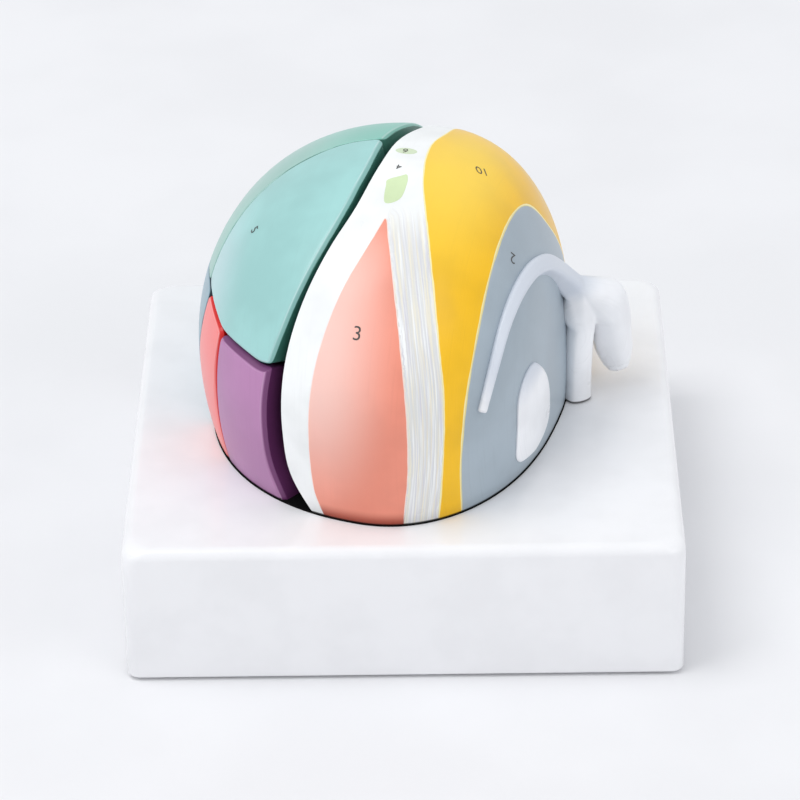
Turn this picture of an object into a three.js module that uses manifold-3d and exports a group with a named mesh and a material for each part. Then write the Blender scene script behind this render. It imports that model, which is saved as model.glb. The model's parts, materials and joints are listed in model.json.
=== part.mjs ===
// Dissectible teaching model of one thalamus, about four times life size, on a white base.
// Millimetres, +Z up. The front end of the thalamus faces -Y and its inner side faces +X.
// The origin is on the surface that the rubber feet stand on, below the middle of the base.

import * as THREE from 'three';
import { mergeVertices } from 'three/addons/utils/BufferGeometryUtils.js';
import Module from 'manifold-3d';

const wasm = await Module();
wasm.setup();

// Base
const BASE_WIDTH = 150;
const BASE_DEPTH = 150;
const BASE_HEIGHT = 40;
const BASE_CORNER = 10;
const BASE_FOOT_CORNER = 3.5;
const BASE_CORNER_DROOP = 7;
const LEAST_CORNER = 0.5;
const BASE_TOP_FILLET = 3;
const BASE_FOOT_FILLET = 0.8;
const BASE_WALL = 3;
const BASE_TOP_THICKNESS = 4;
const PLATE_THICKNESS = 3;
const FOOT_RADIUS = 7;
const FOOT_THICKNESS = 2.4;
const FOOT_PROUD = 0.8;
const FOOT_INSET = 26;
const SCREW_INSET = 13;
const SCREW_SHANK_RADIUS = 1.5;
const SCREW_LENGTH = 10;
const SCREW_HEAD_RADIUS = 3;
const SCREW_HEAD_HEIGHT = 1.8;
const SCREW_HEAD_CHAMFER = 0.6;
const SCREW_TIP = 1;
const SCREW_BOSS_RADIUS = 5;
const DOWEL_RADIUS = 4;
const DOWEL_STAND = 12;
const DOWEL_SINK = 16;
const DOWEL_SPREAD = 46;
const DOWEL_BOSS_RADIUS = 8;
const DOWEL_BOSS_FLOOR = 2.5;

// Thalamus: half sizes of an uneven egg, from its middle to each side
const EGG_X = 5.5;
const EGG_Y = 1;
const EGG_CENTRE_RISE = 21.5;
const EGG_YAW = -16.5;
const EGG_LATERAL = 61.5;
const EGG_MEDIAL = 40.5;
const EGG_FRONT = 66.5;
const EGG_REAR = 58;
const EGG_TOP = 59;
const EGG_BELOW = 66;
const EGG_POWER = 2.16;
const LEAN_SIDEWAYS = -0.03;
const LEAN_LENGTHWAYS = -0.04;
const TWIST = -0.05;
const INNER_FLATNESS = 2.2;
const FRONT_FULLNESS = 24;

// Nucleus blocks and inlays
const BLOCK_DEPTH = 14;
const INLAY_DEPTH = 7;
const BLOCK_EDGE = 1.6;
const INLAY_EDGE = 0.4;
const BLOCK_GAP = 0.6;
const INLAY_GAP = 0.15;
const CORNER_SOFTNESS = 1.4;
const PEG_RADIUS = 2.5;
const PEG_STAND = 6;
const PEG_SINK = 8;

// Pieces on the inner side
const STRIA_TIP_WIDTH = 2.4;
const STRIA_END_WIDTH = 7.2;
const STRIA_RISE = 2.2;
const STRIA_END_RISE = 3.8;
const STRIA_SWELL_START = 0.6;
const ADHESION_PROUD = 0.9;
const ADHESION_EDGE = 0.5;
const ADHESION_DEPTH = 3;
const HABENULA_WIDTH = 8.2;
const HABENULA_DEPTH = 8.4;
const PINEAL_WIDTH = 11.4;
const PINEAL_DEPTH = 12;
const GENICULATE_LENGTH = 17;
const GENICULATE_WIDTH = 13;
const GENICULATE_HEIGHT = 12;

// Sections of the bars: 2 is an oval, more is a box with soft edges and less is a soft diamond
const STRIA_SQUARENESS = 2.8;
const HABENULA_SQUARENESS = 1.6;
const PINEAL_SQUARENESS = 2.2;

// Clearances between pieces
const JOIN_GAP = 0.3;
const SEAT_GAP = 0.5;
const KNOB_GAP = 0.7;
const PEG_FIT = 0.15;
const SLIDE_FIT = 0.3;

// Fineness of the facets
const FACET = 6.5;
const CORNER_STEPS = 6;
const FILLET_STEPS = 4;
const SEAM_STEPS = 12;
const EGG_RINGS = 20;
const EGG_SIDES = 32;
const ROUND_SIDES = 16;
const OVAL_SIDES = 12;

const BASE_TOP = FOOT_PROUD + BASE_HEIGHT;
const EGG_CENTRE = new THREE.Vector3(EGG_X, EGG_Y, BASE_TOP + EGG_CENTRE_RISE);
const SEAT_HEIGHT = JOIN_GAP - EGG_CENTRE_RISE;
const UP = new THREE.Vector3(0, 0, 1);

// Directions from the middle of the thalamus.
// over() turns up from the front over the top, then tilts to the inner side (+) or outer side (-).
function over(turn, tilt) {
  const a = THREE.MathUtils.degToRad(turn);
  const b = THREE.MathUtils.degToRad(tilt);
  return new THREE.Vector3(Math.sin(b), -Math.cos(b) * Math.cos(a), Math.cos(b) * Math.sin(a));
}

// around() turns from the front towards the inner side, then rises by the elevation.
function around(azimuth, elevation) {
  const a = THREE.MathUtils.degToRad(azimuth);
  const b = THREE.MathUtils.degToRad(elevation);
  return new THREE.Vector3(Math.sin(a) * Math.cos(b), -Math.cos(a) * Math.cos(b), Math.sin(b));
}

// Distance of the thalamus's surface from its middle, along a direction.
function reach({ x, y, z }) {
  const across = Math.abs(x / (x < 0 ? EGG_LATERAL : EGG_MEDIAL)) ** EGG_POWER;
  const along = Math.abs(y / (y < 0 ? EGG_FRONT : EGG_REAR)) ** EGG_POWER;
  const upwards = Math.abs(z / (z < 0 ? EGG_BELOW : EGG_TOP)) ** EGG_POWER;
  const even = (across + along + upwards) ** (-1 / EGG_POWER);
  const leaning = even * (1 + LEAN_SIDEWAYS * x * z + LEAN_LENGTHWAYS * y * z + TWIST * x * y);
  const fullness = FRONT_FULLNESS * Math.max(0, -z) ** 2 * Math.max(0, -y) ** 5;
  return leaning + fullness - INNER_FLATNESS * Math.max(0, x) ** 6;
}

function surface(direction, standoff = 0) {
  return direction.clone().multiplyScalar(reach(direction) + standoff);
}

// Solids and booleans
function solidOf(geometry) {
  const bare = geometry.clone();
  bare.deleteAttribute('normal');
  bare.deleteAttribute('uv');
  const welded = mergeVertices(bare, 1e-4);
  return new wasm.Manifold(new wasm.Mesh({
    numProp: 3,
    vertProperties: new Float32Array(welded.attributes.position.array),
    triVerts: new Uint32Array(welded.index.array),
  }));
}

function geometryOf(solid) {
  const { vertProperties, triVerts } = solid.getMesh();
  const geometry = new THREE.BufferGeometry();
  geometry.setAttribute('position', new THREE.BufferAttribute(vertProperties, 3));
  geometry.setIndex(new THREE.BufferAttribute(triVerts, 1));
  geometry.computeVertexNormals();
  return geometry;
}

// Adds the triangles of a grid of points, row by row.
function addSheet(triangles, rows, flipped = false) {
  for (let j = 0; j + 1 < rows.length; j += 1) {
    for (let i = 0; i + 1 < rows[j].length; i += 1) {
      const [a, b, c, d] = [rows[j][i], rows[j][i + 1], rows[j + 1][i + 1], rows[j + 1][i]];
      const pair = flipped ? [a, c, b, a, d, c] : [a, b, c, a, c, d];
      triangles.push(...pair);
    }
  }
}

function solidOfTriangles(triangles) {
  return solidOf(new THREE.BufferGeometry().setFromPoints(triangles).setIndex([...triangles.keys()]));
}

// A closed body through rings of equal counts, closed by a fan at each end.
function loft(rings) {
  const triangles = [];
  const closed = rings.map((ring) => [...ring, ring[0]]);
  const middle = (ring) => ring.reduce((sum, p) => sum.add(p), new THREE.Vector3()).divideScalar(ring.length);
  addSheet(triangles, closed);
  for (const [ring, last] of [[rings[0], false], [rings.at(-1), true]]) {
    const centre = middle(ring);
    ring.forEach((point, i) => {
      const next = ring[(i + 1) % ring.length];
      triangles.push(...(last ? [centre, point, next] : [centre, next, point]));
    });
  }
  return solidOfTriangles(triangles);
}

// The largest body of a solid, without the slivers that a cut leaves beyond it.
function mainBody(solid) {
  return solid.decompose().reduce((best, body) => (body.volume() > best.volume() ? body : best));
}

function cylinder(radius, bottom, top, x = 0, y = 0) {
  const geometry = new THREE.CylinderGeometry(radius, radius, top - bottom, ROUND_SIDES);
  geometry.rotateX(Math.PI / 2);
  geometry.translate(x, y, (bottom + top) / 2);
  return solidOf(geometry);
}

// A round bar along a direction from the middle of the thalamus.
function bar(radius, direction, start, end) {
  const geometry = new THREE.CylinderGeometry(radius, radius, end - start, ROUND_SIDES);
  geometry.translate(0, (start + end) / 2, 0);
  geometry.applyQuaternion(new THREE.Quaternion().setFromUnitVectors(new THREE.Vector3(0, 1, 0), direction));
  return solidOf(geometry);
}

// Base pieces
function roundedOutline(width, depth, radius, z) {
  const points = [];
  const corners = [[1, 1, 0], [-1, 1, 90], [-1, -1, 180], [1, -1, 270]];
  for (const [sx, sy, start] of corners) {
    for (let k = 0; k <= CORNER_STEPS; k += 1) {
      const a = THREE.MathUtils.degToRad(start + (90 * k) / CORNER_STEPS);
      const x = sx * (width / 2 - radius) + radius * Math.cos(a);
      const y = sy * (depth / 2 - radius) + radius * Math.sin(a);
      points.push(new THREE.Vector3(x, y, z));
    }
  }
  return points;
}

// A rounded box through stations of [inset from the base's outline, height].
// cornerAt(height) gives the radius of the outline's corners before the inset.
function roundedBox(stations, cornerAt) {
  return loft(stations.map(([inset, z]) => roundedOutline(
    BASE_WIDTH - 2 * inset,
    BASE_DEPTH - 2 * inset,
    Math.max(cornerAt(z) - inset, LEAST_CORNER),
    z,
  )));
}

// The base's corners are tight at the foot and open out in a quarter ellipse up to the top.
function droopingCorner(z) {
  const share = Math.max(0, 1 - (BASE_TOP - z) / BASE_CORNER_DROOP);
  return BASE_FOOT_CORNER + (BASE_CORNER - BASE_FOOT_CORNER) * (1 - Math.sqrt(1 - share ** 2));
}

function tightCorner() {
  return BASE_FOOT_CORNER;
}

function quarterRound(radius, z) {
  return [...Array(FILLET_STEPS + 1).keys()].map((k) => {
    const a = (Math.PI / 2) * (k / FILLET_STEPS);
    return [radius * (1 - Math.cos(a)), z - radius * (1 - Math.sin(a))];
  });
}

function cornersAt(inset) {
  const x = BASE_WIDTH / 2 - inset;
  const y = BASE_DEPTH / 2 - inset;
  return [[-x, -y], [x, -y], [x, y], [-x, y]];
}

const PLATE_BOTTOM = FOOT_PROUD;
const PLATE_TOP = PLATE_BOTTOM + PLATE_THICKNESS;
const BOSS_BOTTOM = PLATE_TOP + JOIN_GAP;
const SCREW_HEAD_TOP = PLATE_BOTTOM + SCREW_HEAD_HEIGHT;
const DOWEL_BOTTOM = BASE_TOP - DOWEL_SINK;
const DOWEL_PLACES = [[EGG_X, EGG_Y - DOWEL_SPREAD / 2], [EGG_X, EGG_Y + DOWEL_SPREAD / 2]];

function baseShell() {
  const cavityTop = BASE_TOP - BASE_TOP_THICKNESS;
  const outer = roundedBox([
    [BASE_FOOT_FILLET, PLATE_BOTTOM],
    [0, PLATE_BOTTOM + BASE_FOOT_FILLET],
    [0, BASE_TOP - BASE_CORNER_DROOP],
    ...quarterRound(BASE_TOP_FILLET, BASE_TOP),
  ], droopingCorner);
  let shell = outer.subtract(roundedBox([[BASE_WALL, 0], [BASE_WALL, cavityTop]], tightCorner));
  for (const [x, y] of cornersAt(SCREW_INSET)) {
    shell = shell.add(cylinder(SCREW_BOSS_RADIUS, BOSS_BOTTOM, BASE_TOP - BASE_TOP_THICKNESS / 2, x, y));
    const pilotTop = SCREW_HEAD_TOP + SCREW_LENGTH + 2 * JOIN_GAP;
    shell = shell.subtract(cylinder(SCREW_SHANK_RADIUS + PEG_FIT, 0, pilotTop, x, y));
  }
  for (const [x, y] of DOWEL_PLACES) {
    const bossBottom = DOWEL_BOTTOM - JOIN_GAP - DOWEL_BOSS_FLOOR;
    shell = shell.add(cylinder(DOWEL_BOSS_RADIUS, bossBottom, BASE_TOP - BASE_TOP_THICKNESS / 2, x, y));
    shell = shell.subtract(cylinder(DOWEL_RADIUS + PEG_FIT, DOWEL_BOTTOM - JOIN_GAP, BASE_TOP + 1, x, y));
  }
  return shell;
}

function basePlate() {
  const rim = BASE_WALL + JOIN_GAP;
  let plate = roundedBox([[rim, PLATE_BOTTOM], [rim, PLATE_TOP]], tightCorner);
  for (const [x, y] of cornersAt(SCREW_INSET)) {
    plate = plate.subtract(cylinder(SCREW_SHANK_RADIUS + SLIDE_FIT, 0, BASE_TOP, x, y));
    plate = plate.subtract(cylinder(SCREW_HEAD_RADIUS + SLIDE_FIT, 0, SCREW_HEAD_TOP + JOIN_GAP, x, y));
  }
  for (const [x, y] of cornersAt(FOOT_INSET)) {
    const pocketTop = FOOT_THICKNESS + JOIN_GAP;
    plate = plate.subtract(cylinder(FOOT_RADIUS + SLIDE_FIT, 0, pocketTop, x, y));
  }
  return plate;
}

function baseScrew([x, y]) {
  const points = [
    [0, 0],
    [SCREW_HEAD_RADIUS - SCREW_HEAD_CHAMFER, 0],
    [SCREW_HEAD_RADIUS, SCREW_HEAD_CHAMFER],
    [SCREW_HEAD_RADIUS, SCREW_HEAD_HEIGHT],
    [SCREW_SHANK_RADIUS, SCREW_HEAD_HEIGHT],
    [SCREW_SHANK_RADIUS, SCREW_HEAD_HEIGHT + SCREW_LENGTH - SCREW_TIP],
    [0, SCREW_HEAD_HEIGHT + SCREW_LENGTH],
  ].map(([r, z]) => new THREE.Vector2(r, z));
  const geometry = new THREE.LatheGeometry(points, ROUND_SIDES);
  geometry.rotateX(Math.PI / 2);
  geometry.translate(x, y, PLATE_BOTTOM);
  return solidOf(geometry);
}

function baseFoot([x, y]) {
  const points = [
    [0, 0],
    [FOOT_RADIUS - FOOT_PROUD, 0],
    [FOOT_RADIUS, FOOT_PROUD],
    [FOOT_RADIUS, FOOT_THICKNESS],
    [0, FOOT_THICKNESS],
  ].map(([r, z]) => new THREE.Vector2(r, z));
  const geometry = new THREE.LatheGeometry(points, ROUND_SIDES);
  geometry.rotateX(Math.PI / 2);
  geometry.translate(x, y, 0);
  return solidOf(geometry);
}

// Seams on the surface: smooth lines through a few directions
function seam(...directions) {
  if (directions.length === 2) {
    const [a, b] = directions;
    return [...Array(SEAM_STEPS + 1).keys()].map((k) => a.clone().lerp(b, k / SEAM_STEPS).normalize());
  }
  const points = smoothThrough(directions).getPoints(SEAM_STEPS * (directions.length - 1));
  return points.map((p) => p.normalize());
}

function joined(...seams) {
  return seams.flatMap((points, i) => (i === 0 ? points : points.slice(1)));
}

function reversed(points) {
  return [...points].reverse();
}

function smoothThrough(points) {
  return new THREE.CatmullRomCurve3(points, false, 'catmullrom', 0.5);
}

function lengthOf(path) {
  return path.reduce((sum, p, i) => (i === 0 ? 0 : sum + surface(p).distanceTo(surface(path[i - 1]))), 0);
}

// Points at even spacing on a path, both ends included.
function evenly(path, count) {
  const marks = [0];
  for (let i = 1; i < path.length; i += 1) marks.push(marks[i - 1] + path[i].distanceTo(path[i - 1]));
  const points = [];
  let i = 1;
  for (let k = 0; k <= count; k += 1) {
    const mark = (marks.at(-1) * k) / count;
    while (i < path.length - 1 && marks[i] < mark) i += 1;
    const t = (mark - marks[i - 1]) / (marks[i] - marks[i - 1]);
    points.push(path[i - 1].clone().lerp(path[i], t).normalize());
  }
  return points;
}

// Rounds the corners of a rim by about the corner softness.
function softened(rim) {
  const spacing = lengthOf(rim) / (rim.length - 1);
  const passes = Math.max(1, Math.round(2 * (CORNER_SOFTNESS / spacing) ** 2));
  let points = rim;
  for (let k = 0; k < passes; k += 1) {
    points = points.map((p, i) => {
      const before = points.at(i - 1);
      const after = points[(i + 1) % points.length];
      return p.clone().multiplyScalar(2).add(before).add(after).normalize();
    });
  }
  return points;
}

// Moves each point of a rim inwards over the surface, by an inset in millimetres.
function drawnIn(rim, inset) {
  return rim.map((p, i) => {
    const along = rim[(i + 1) % rim.length].clone().sub(rim.at(i - 1));
    const inwards = p.clone().cross(along).normalize();
    return p.clone().addScaledVector(inwards, inset / reach(p)).normalize();
  });
}

// Facets needed between two facing seams, each of which may also be short where the zone is wide.
function facetsBetween(first, second, ...sides) {
  const middles = [first, second].map((path) => evenly(path, 2)[1]);
  const widest = Math.max(lengthOf(seam(...middles)), ...sides.map(lengthOf));
  return Math.max(3, Math.round(widest / FACET));
}

// A zone of the surface between four seams. left and right run the same way, and so do near and far.
function zone({ near, right, far, left }) {
  const across = facetsBetween(left, right, near, far);
  const along = facetsBetween(near, far, left, right);
  const sides = [
    evenly(near, across),
    evenly(right, along),
    reversed(evenly(far, across)),
    reversed(evenly(left, along)),
  ];
  const rim = softened(sides.flatMap((points) => points.slice(0, -1)));
  const centre = rim.reduce((sum, p) => sum.add(p), new THREE.Vector3());
  const turning = rim.reduce((sum, p, i) => sum + p.clone().cross(rim[(i + 1) % rim.length]).dot(centre), 0);
  if (turning < 0) return zone({ near: reversed(near), right: left, far: reversed(far), left: right });
  return { rim, across, along };
}

// Fills a rim with a grid of directions, blended from its four sides.
function filled(rim, across, along) {
  const count = rim.length;
  const [n0, n1, f1, f0] = [0, across, across + along, 2 * across + along].map((k) => rim[k]);
  return [...Array(along + 1).keys()].map((j) => [...Array(across + 1).keys()].map((i) => {
    const u = i / across;
    const v = j / along;
    return new THREE.Vector3()
      .addScaledVector(rim[i], 1 - v)
      .addScaledVector(rim[2 * across + along - i], v)
      .addScaledVector(rim[(count - j) % count], 1 - u)
      .addScaledVector(rim[across + j], u)
      .addScaledVector(n0, -(1 - u) * (1 - v))
      .addScaledVector(n1, -u * (1 - v))
      .addScaledVector(f0, -(1 - u) * v)
      .addScaledVector(f1, -u * v)
      .normalize();
  }));
}

// A solid over a zone, with walls that point at the middle: stations of [inset, standoff], from the top down.
function overZone({ rim, across, along }, stations) {
  const triangles = [];
  const rims = stations.map(([inset]) => drawnIn(rim, inset));
  const rings = rims.map((points, k) => points.map((p) => surface(p, stations[k][1])));
  addSheet(triangles, rings.map((ring) => [...ring, ring[0]]), true);
  const cap = (k) => filled(rims[k], across, along).map((row) => row.map((p) => surface(p, stations[k][1])));
  addSheet(triangles, cap(0));
  addSheet(triangles, cap(stations.length - 1), true);
  return onBase(solidOfTriangles(triangles));
}

function blockOver(place, gap, edge, depth, proud = 0) {
  const rounding = [0, 30, 60, 90].map((degrees) => {
    const a = THREE.MathUtils.degToRad(degrees);
    return [gap + edge * (1 - Math.sin(a)), proud - edge * (1 - Math.cos(a))];
  });
  return overZone(place, [...rounding, [gap, -depth]]);
}

// A cutter over a zone, which stands as far above the surface as it reaches below.
function pocketOver(place, gap, depth) {
  return overZone(place, [[gap, depth], [gap, -depth]]);
}

// Corners where three zones meet
const REAR_TOP = over(129, -8);
const REAR_OUTER = around(-113, 23);
const FRONT_OUTER = around(-62.5, 23);
const LAMINA_TOP = over(94, -10.8);
const ARC_MIDDLE = over(87.5, -28.8);
const RIM_OUTER = over(37.5, -52);
const RIM_MIDDLE = over(24, -41);
const RIM_INNER = over(18.5, -21.5);

// Seams of the outer group, which stands apart from the white lamina across a groove
const dorsalArc = seam(FRONT_OUTER, over(58, -51.3), over(70.6, -45.8), over(81, -37.5), ARC_MIDDLE);
const dorsalArcTop = seam(ARC_MIDDLE, over(92, -20.5), LAMINA_TOP);
const lateralEdge = seam(
  RIM_INNER,
  over(30, -18),
  over(48, -13),
  over(62, -10.3),
  over(78, -9.8),
  LAMINA_TOP,
);
const lateralEdgeRear = seam(LAMINA_TOP, over(112, -9), REAR_TOP);
const ventralEdge = seam(around(-14, -35), over(-20, -18.3), over(-8, -22.9), over(6, -23.4), RIM_INNER);
const rimFront = seam(RIM_MIDDLE, over(20, -30.5), over(18.2, -25), RIM_INNER);
const rimMiddle = seam(RIM_OUTER, over(29.5, -46), RIM_MIDDLE);
const rimOuter = seam(FRONT_OUTER, RIM_OUTER);
const dorsalRear = seam(FRONT_OUTER, around(-80, 22), around(-98, 23), REAR_OUTER);
const frontSeam = seam(around(-45, -35), over(-20, -42.8), over(-8, -44.3), over(8, -43.5), RIM_MIDDLE);
const middleSeam = seam(around(-67, -35), around(-64.5, -12), around(-62, 3), around(-59, 14), RIM_OUTER);
const rearSeam = seam(around(-122, -35), around(-121, -12), around(-118, 8), REAR_OUTER);
const pulvinarFront = seam(REAR_OUTER, over(126, -42), over(126, -25), REAR_TOP);
const pulvinarInner = seam(
  around(151, -35),
  around(155, -8),
  around(158, 10),
  around(160, 25),
  over(137, 4),
  REAR_TOP,
);
const skirtFront = seam(around(-45, -35), around(-30, -35), around(-14, -35));
const skirtMiddle = seam(around(-67, -35), around(-45, -35));
const skirtOuter = seam(around(-122, -35), around(-94, -35), around(-67, -35));
const skirtRear = seam(around(-209, -35), around(-180, -35), around(-150, -35), around(-122, -35));

// Seams of the white lamina and of the inner group
const laminaOuter = seam(
  around(0, -35),
  over(-20, -10),
  over(-9, -16.6),
  over(3, -18.1),
  over(18, -17.7),
  over(34, -15.1),
  over(49, -11.4),
  over(62, -8.2),
  over(78, -7.4),
  over(93, -7),
  over(109, -4),
  over(126, -3.2),
  over(137, 8),
  around(157, 26),
  around(155, 10),
  around(152, -8),
  around(148, -35),
);
const anteriorTip = seam(over(58.6, 0.5), over(58, 2.3));
const anteriorOuter = seam(
  around(-3, -35),
  over(-21, -6.6),
  over(-11, -10),
  over(5, -10.7),
  over(20, -9.5),
  over(37.5, -5.9),
  over(51, -1.4),
  over(58.6, 0.5),
);
const anteriorInner = seam(
  around(10, -35),
  over(-20, 10.9),
  over(-2, 13.2),
  over(16, 12.2),
  over(36, 8),
  over(58, 2.3),
);
const mediodorsalOuter = seam(
  around(19, -35),
  over(-21, 18.8),
  over(2, 21.5),
  over(17, 20.9),
  over(31, 18.2),
  over(53, 12.3),
  over(74, 5.5),
  over(91, 2.3),
  over(105, 3.2),
  over(120, 3.4),
  over(136, 13),
  around(149, 28),
  around(148, 15),
  around(146, 0),
  around(142, -35),
);
const midlineOuter = seam(
  around(27, -35),
  over(-22, 24.9),
  over(-4, 26.2),
  over(18, 27.6),
  over(44, 29.3),
  over(66, 30.4),
  over(86, 31.6),
  over(101, 34.3),
  over(115, 42),
  over(132, 46),
  around(128, 19),
  around(127, -5),
  around(125, -35),
);

// Nucleus blocks of the outer group
const lateralDorsal = zone({
  near: joined(rimOuter, rimMiddle, rimFront),
  right: lateralEdge,
  far: dorsalArcTop,
  left: dorsalArc,
});
const lateralPosterior = zone({
  near: joined(dorsalArc, dorsalArcTop),
  right: lateralEdgeRear,
  far: pulvinarFront,
  left: dorsalRear,
});
const ventralAnterior = zone({ near: skirtFront, right: ventralEdge, far: rimFront, left: frontSeam });
const ventralLateral = zone({ near: skirtMiddle, right: frontSeam, far: rimMiddle, left: middleSeam });
const ventralPosterior = zone({
  near: skirtOuter,
  right: middleSeam,
  far: joined(reversed(dorsalRear), rimOuter),
  left: rearSeam,
});
const pulvinar = zone({
  near: skirtRear,
  right: rearSeam,
  far: reversed(pulvinarFront),
  left: pulvinarInner,
});
const outerGroup = zone({
  near: seam(around(-16, -35), around(0, -35)),
  right: laminaOuter,
  far: seam(around(162, -35), around(148, -35)),
  left: seam(around(-16, -35), around(-60, -35), around(-105, -35), around(-150, -35), around(162, -35)),
});

// Inlays of the inner group
const anterior = zone({
  near: seam(around(-3, -35), around(10, -35)),
  right: anteriorInner,
  far: anteriorTip,
  left: anteriorOuter,
});
const mediodorsal = zone({
  near: seam(around(19, -35), around(27, -35)),
  right: midlineOuter,
  far: seam(around(142, -35), around(125, -35)),
  left: mediodorsalOuter,
});
const midline = zone({
  near: seam(around(27, -35), around(36, -42)),
  right: seam(around(36, -42), around(75, -42), around(115, -42)),
  far: seam(around(125, -35), around(115, -42)),
  left: midlineOuter,
});
const adhesion = zone({
  near: seam(over(-21, 44.5), over(-27, 46), over(-38, 53.6)),
  right: seam(
    over(-38, 53.6),
    over(-44, 61),
    over(-44.8, 67),
    over(-23, 72.7),
    over(4.6, 71.2),
    over(19, 65),
  ),
  far: seam(over(21.3, 51.7), over(25, 56.5), over(19, 65)),
  left: seam(over(-21, 44.5), over(-4.4, 46.7), over(7.3, 47), over(15.7, 48.9), over(21.3, 51.7)),
});

// Directions in which the outer blocks pull off, which are also those of their pegs
const PULLS = {
  lateral_dorsal: over(62, -34),
  lateral_posterior: over(112, -42),
  pulvinar: around(-172, 16),
  ventral_anterior: over(9, -34),
  ventral_lateral: over(14, -53),
  ventral_posterior: around(-94, 8),
};

function pegHole(direction) {
  const seat = reach(direction) - BLOCK_DEPTH;
  return bar(PEG_RADIUS + PEG_FIT, direction, seat - PEG_SINK - JOIN_GAP, seat + PEG_STAND);
}

function outerBlock(place, direction) {
  const seat = reach(direction) - BLOCK_DEPTH;
  const socket = bar(PEG_RADIUS + SLIDE_FIT, direction, seat - PEG_SINK, seat + PEG_STAND + JOIN_GAP);
  return blockOver(place, BLOCK_GAP, BLOCK_EDGE, BLOCK_DEPTH).subtract(socket);
}

function peg(direction) {
  const seat = reach(direction) - BLOCK_DEPTH;
  return bar(PEG_RADIUS, direction, seat - PEG_SINK, seat + PEG_STAND);
}

// The whole thalamus, grown by a margin.
function egg(margin = 0) {
  const geometry = new THREE.SphereGeometry(1, EGG_SIDES, EGG_RINGS);
  const places = geometry.attributes.position;
  for (let i = 0; i < places.count; i += 1) {
    const p = surface(new THREE.Vector3().fromBufferAttribute(places, i).normalize(), margin);
    places.setXYZ(i, p.x, p.y, p.z);
  }
  return solidOf(geometry);
}

function onBase(solid) {
  return solid.trimByPlane([0, 0, 1], SEAT_HEIGHT);
}

function thalamusCore() {
  let core = onBase(egg()).subtract(pocketOver(outerGroup, 0, BLOCK_DEPTH + SEAT_GAP));
  for (const place of [anterior, mediodorsal, midline]) {
    core = core.subtract(pocketOver(place, -INLAY_GAP, INLAY_DEPTH + SEAT_GAP));
  }
  for (const direction of Object.values(PULLS)) core = core.subtract(pegHole(direction));
  for (const [x, y] of DOWEL_PLACES) {
    const place = new THREE.Vector3(x - EGG_X, y - EGG_Y, 0);
    place.applyAxisAngle(UP, THREE.MathUtils.degToRad(-EGG_YAW));
    const top = DOWEL_STAND + JOIN_GAP - EGG_CENTRE_RISE;
    core = core.subtract(cylinder(DOWEL_RADIUS + SLIDE_FIT, SEAT_HEIGHT - 1, top, place.x, place.y));
  }
  return core;
}

// A bar along a path, with stations of [half width, half thickness].
// widthAt(middle, forwards) gives the direction of the width at a point of the path.
function softBar(path, halves, widthAt, squareness, margin = 0) {
  const middles = smoothThrough(path);
  const sizes = smoothThrough(halves.map(([width, thickness]) => new THREE.Vector3(width, thickness, 0)));
  const squared = (value) => Math.sign(value) * Math.abs(value) ** (2 / squareness);
  const steps = 3 * (path.length - 1);
  const rings = [];
  for (let k = 0; k <= steps; k += 1) {
    const middle = middles.getPoint(k / steps);
    const forwards = middles.getTangent(k / steps);
    const size = sizes.getPoint(k / steps).addScalar(margin);
    const width = widthAt(middle, forwards);
    const side = width.addScaledVector(forwards, -width.dot(forwards)).normalize();
    const out = forwards.clone().cross(side).normalize();
    rings.push([...Array(OVAL_SIDES).keys()].map((n) => {
      const a = (2 * Math.PI * n) / OVAL_SIDES;
      return middle.clone()
        .addScaledVector(side, size.x * squared(Math.cos(a)))
        .addScaledVector(out, size.y * squared(Math.sin(a)));
    }));
  }
  return loft(rings);
}

// The raised white ridge along the upper edge of the inner face, whose rear end swells off the surface
const STRIA_PATH = [
  surface(over(10, 32)),
  surface(over(24.5, 34.9)),
  surface(over(38.5, 37.2)),
  surface(over(52, 40.2)),
  surface(over(66.5, 44.2)),
  surface(over(80, 48.5)),
  surface(over(94, 52.9)),
  surface(around(105, 27.7), 0.6),
  surface(around(109.2, 19), 3.1),
  surface(around(112.5, 11.7), 5.8),
];

// The bridge from the end of the ridge down to the base, and the lobe that hangs behind it
const HABENULA_PATH = [
  surface(around(112.7, 10.6), 6.1),
  surface(around(111.9, 3.5), 4.5),
  surface(around(111.5, -4.5), 3.4),
  surface(around(111.1, -18.5), 2.9),
  surface(around(111.2, -31.6), 4),
];
const PINEAL_PATH = [
  surface(around(114.7, 12.6), 9.9),
  surface(around(116.1, 8.4), 10.9),
  surface(around(116.8, 1.7), 12),
  surface(around(117.2, -5.7), 12.4),
  surface(around(117, -10), 13.3),
  surface(around(116.4, -13.8), 14.2),
  surface(around(115.9, -15.4), 14.5),
];
const REARWARDS = over(180, 0);

function striaMedullaris(margin = 0) {
  const halves = STRIA_PATH.map((_, k) => {
    const t = k / (STRIA_PATH.length - 1);
    const swell = Math.max(0, (t - STRIA_SWELL_START) / (1 - STRIA_SWELL_START));
    return [
      THREE.MathUtils.lerp(STRIA_TIP_WIDTH, STRIA_END_WIDTH, t) / 2,
      THREE.MathUtils.lerp(STRIA_RISE, STRIA_END_RISE, swell),
    ];
  });
  const alongSurface = (middle, forwards) => forwards.clone().cross(middle);
  return softBar(STRIA_PATH, halves, alongSurface, STRIA_SQUARENESS, margin);
}

// A bar whose stations are shares of a width and a depth.
function taperedBar(path, shares, width, depth, squareness, margin = 0) {
  const halves = shares.map((share) => [share * depth / 2, share * width / 2]);
  return softBar(path, halves, () => REARWARDS.clone(), squareness, margin);
}

function habenulaBar(margin = 0) {
  const shares = [0.8, 0.95, 1, 1, 1];
  return taperedBar(HABENULA_PATH, shares, HABENULA_WIDTH, HABENULA_DEPTH, HABENULA_SQUARENESS, margin);
}

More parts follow.
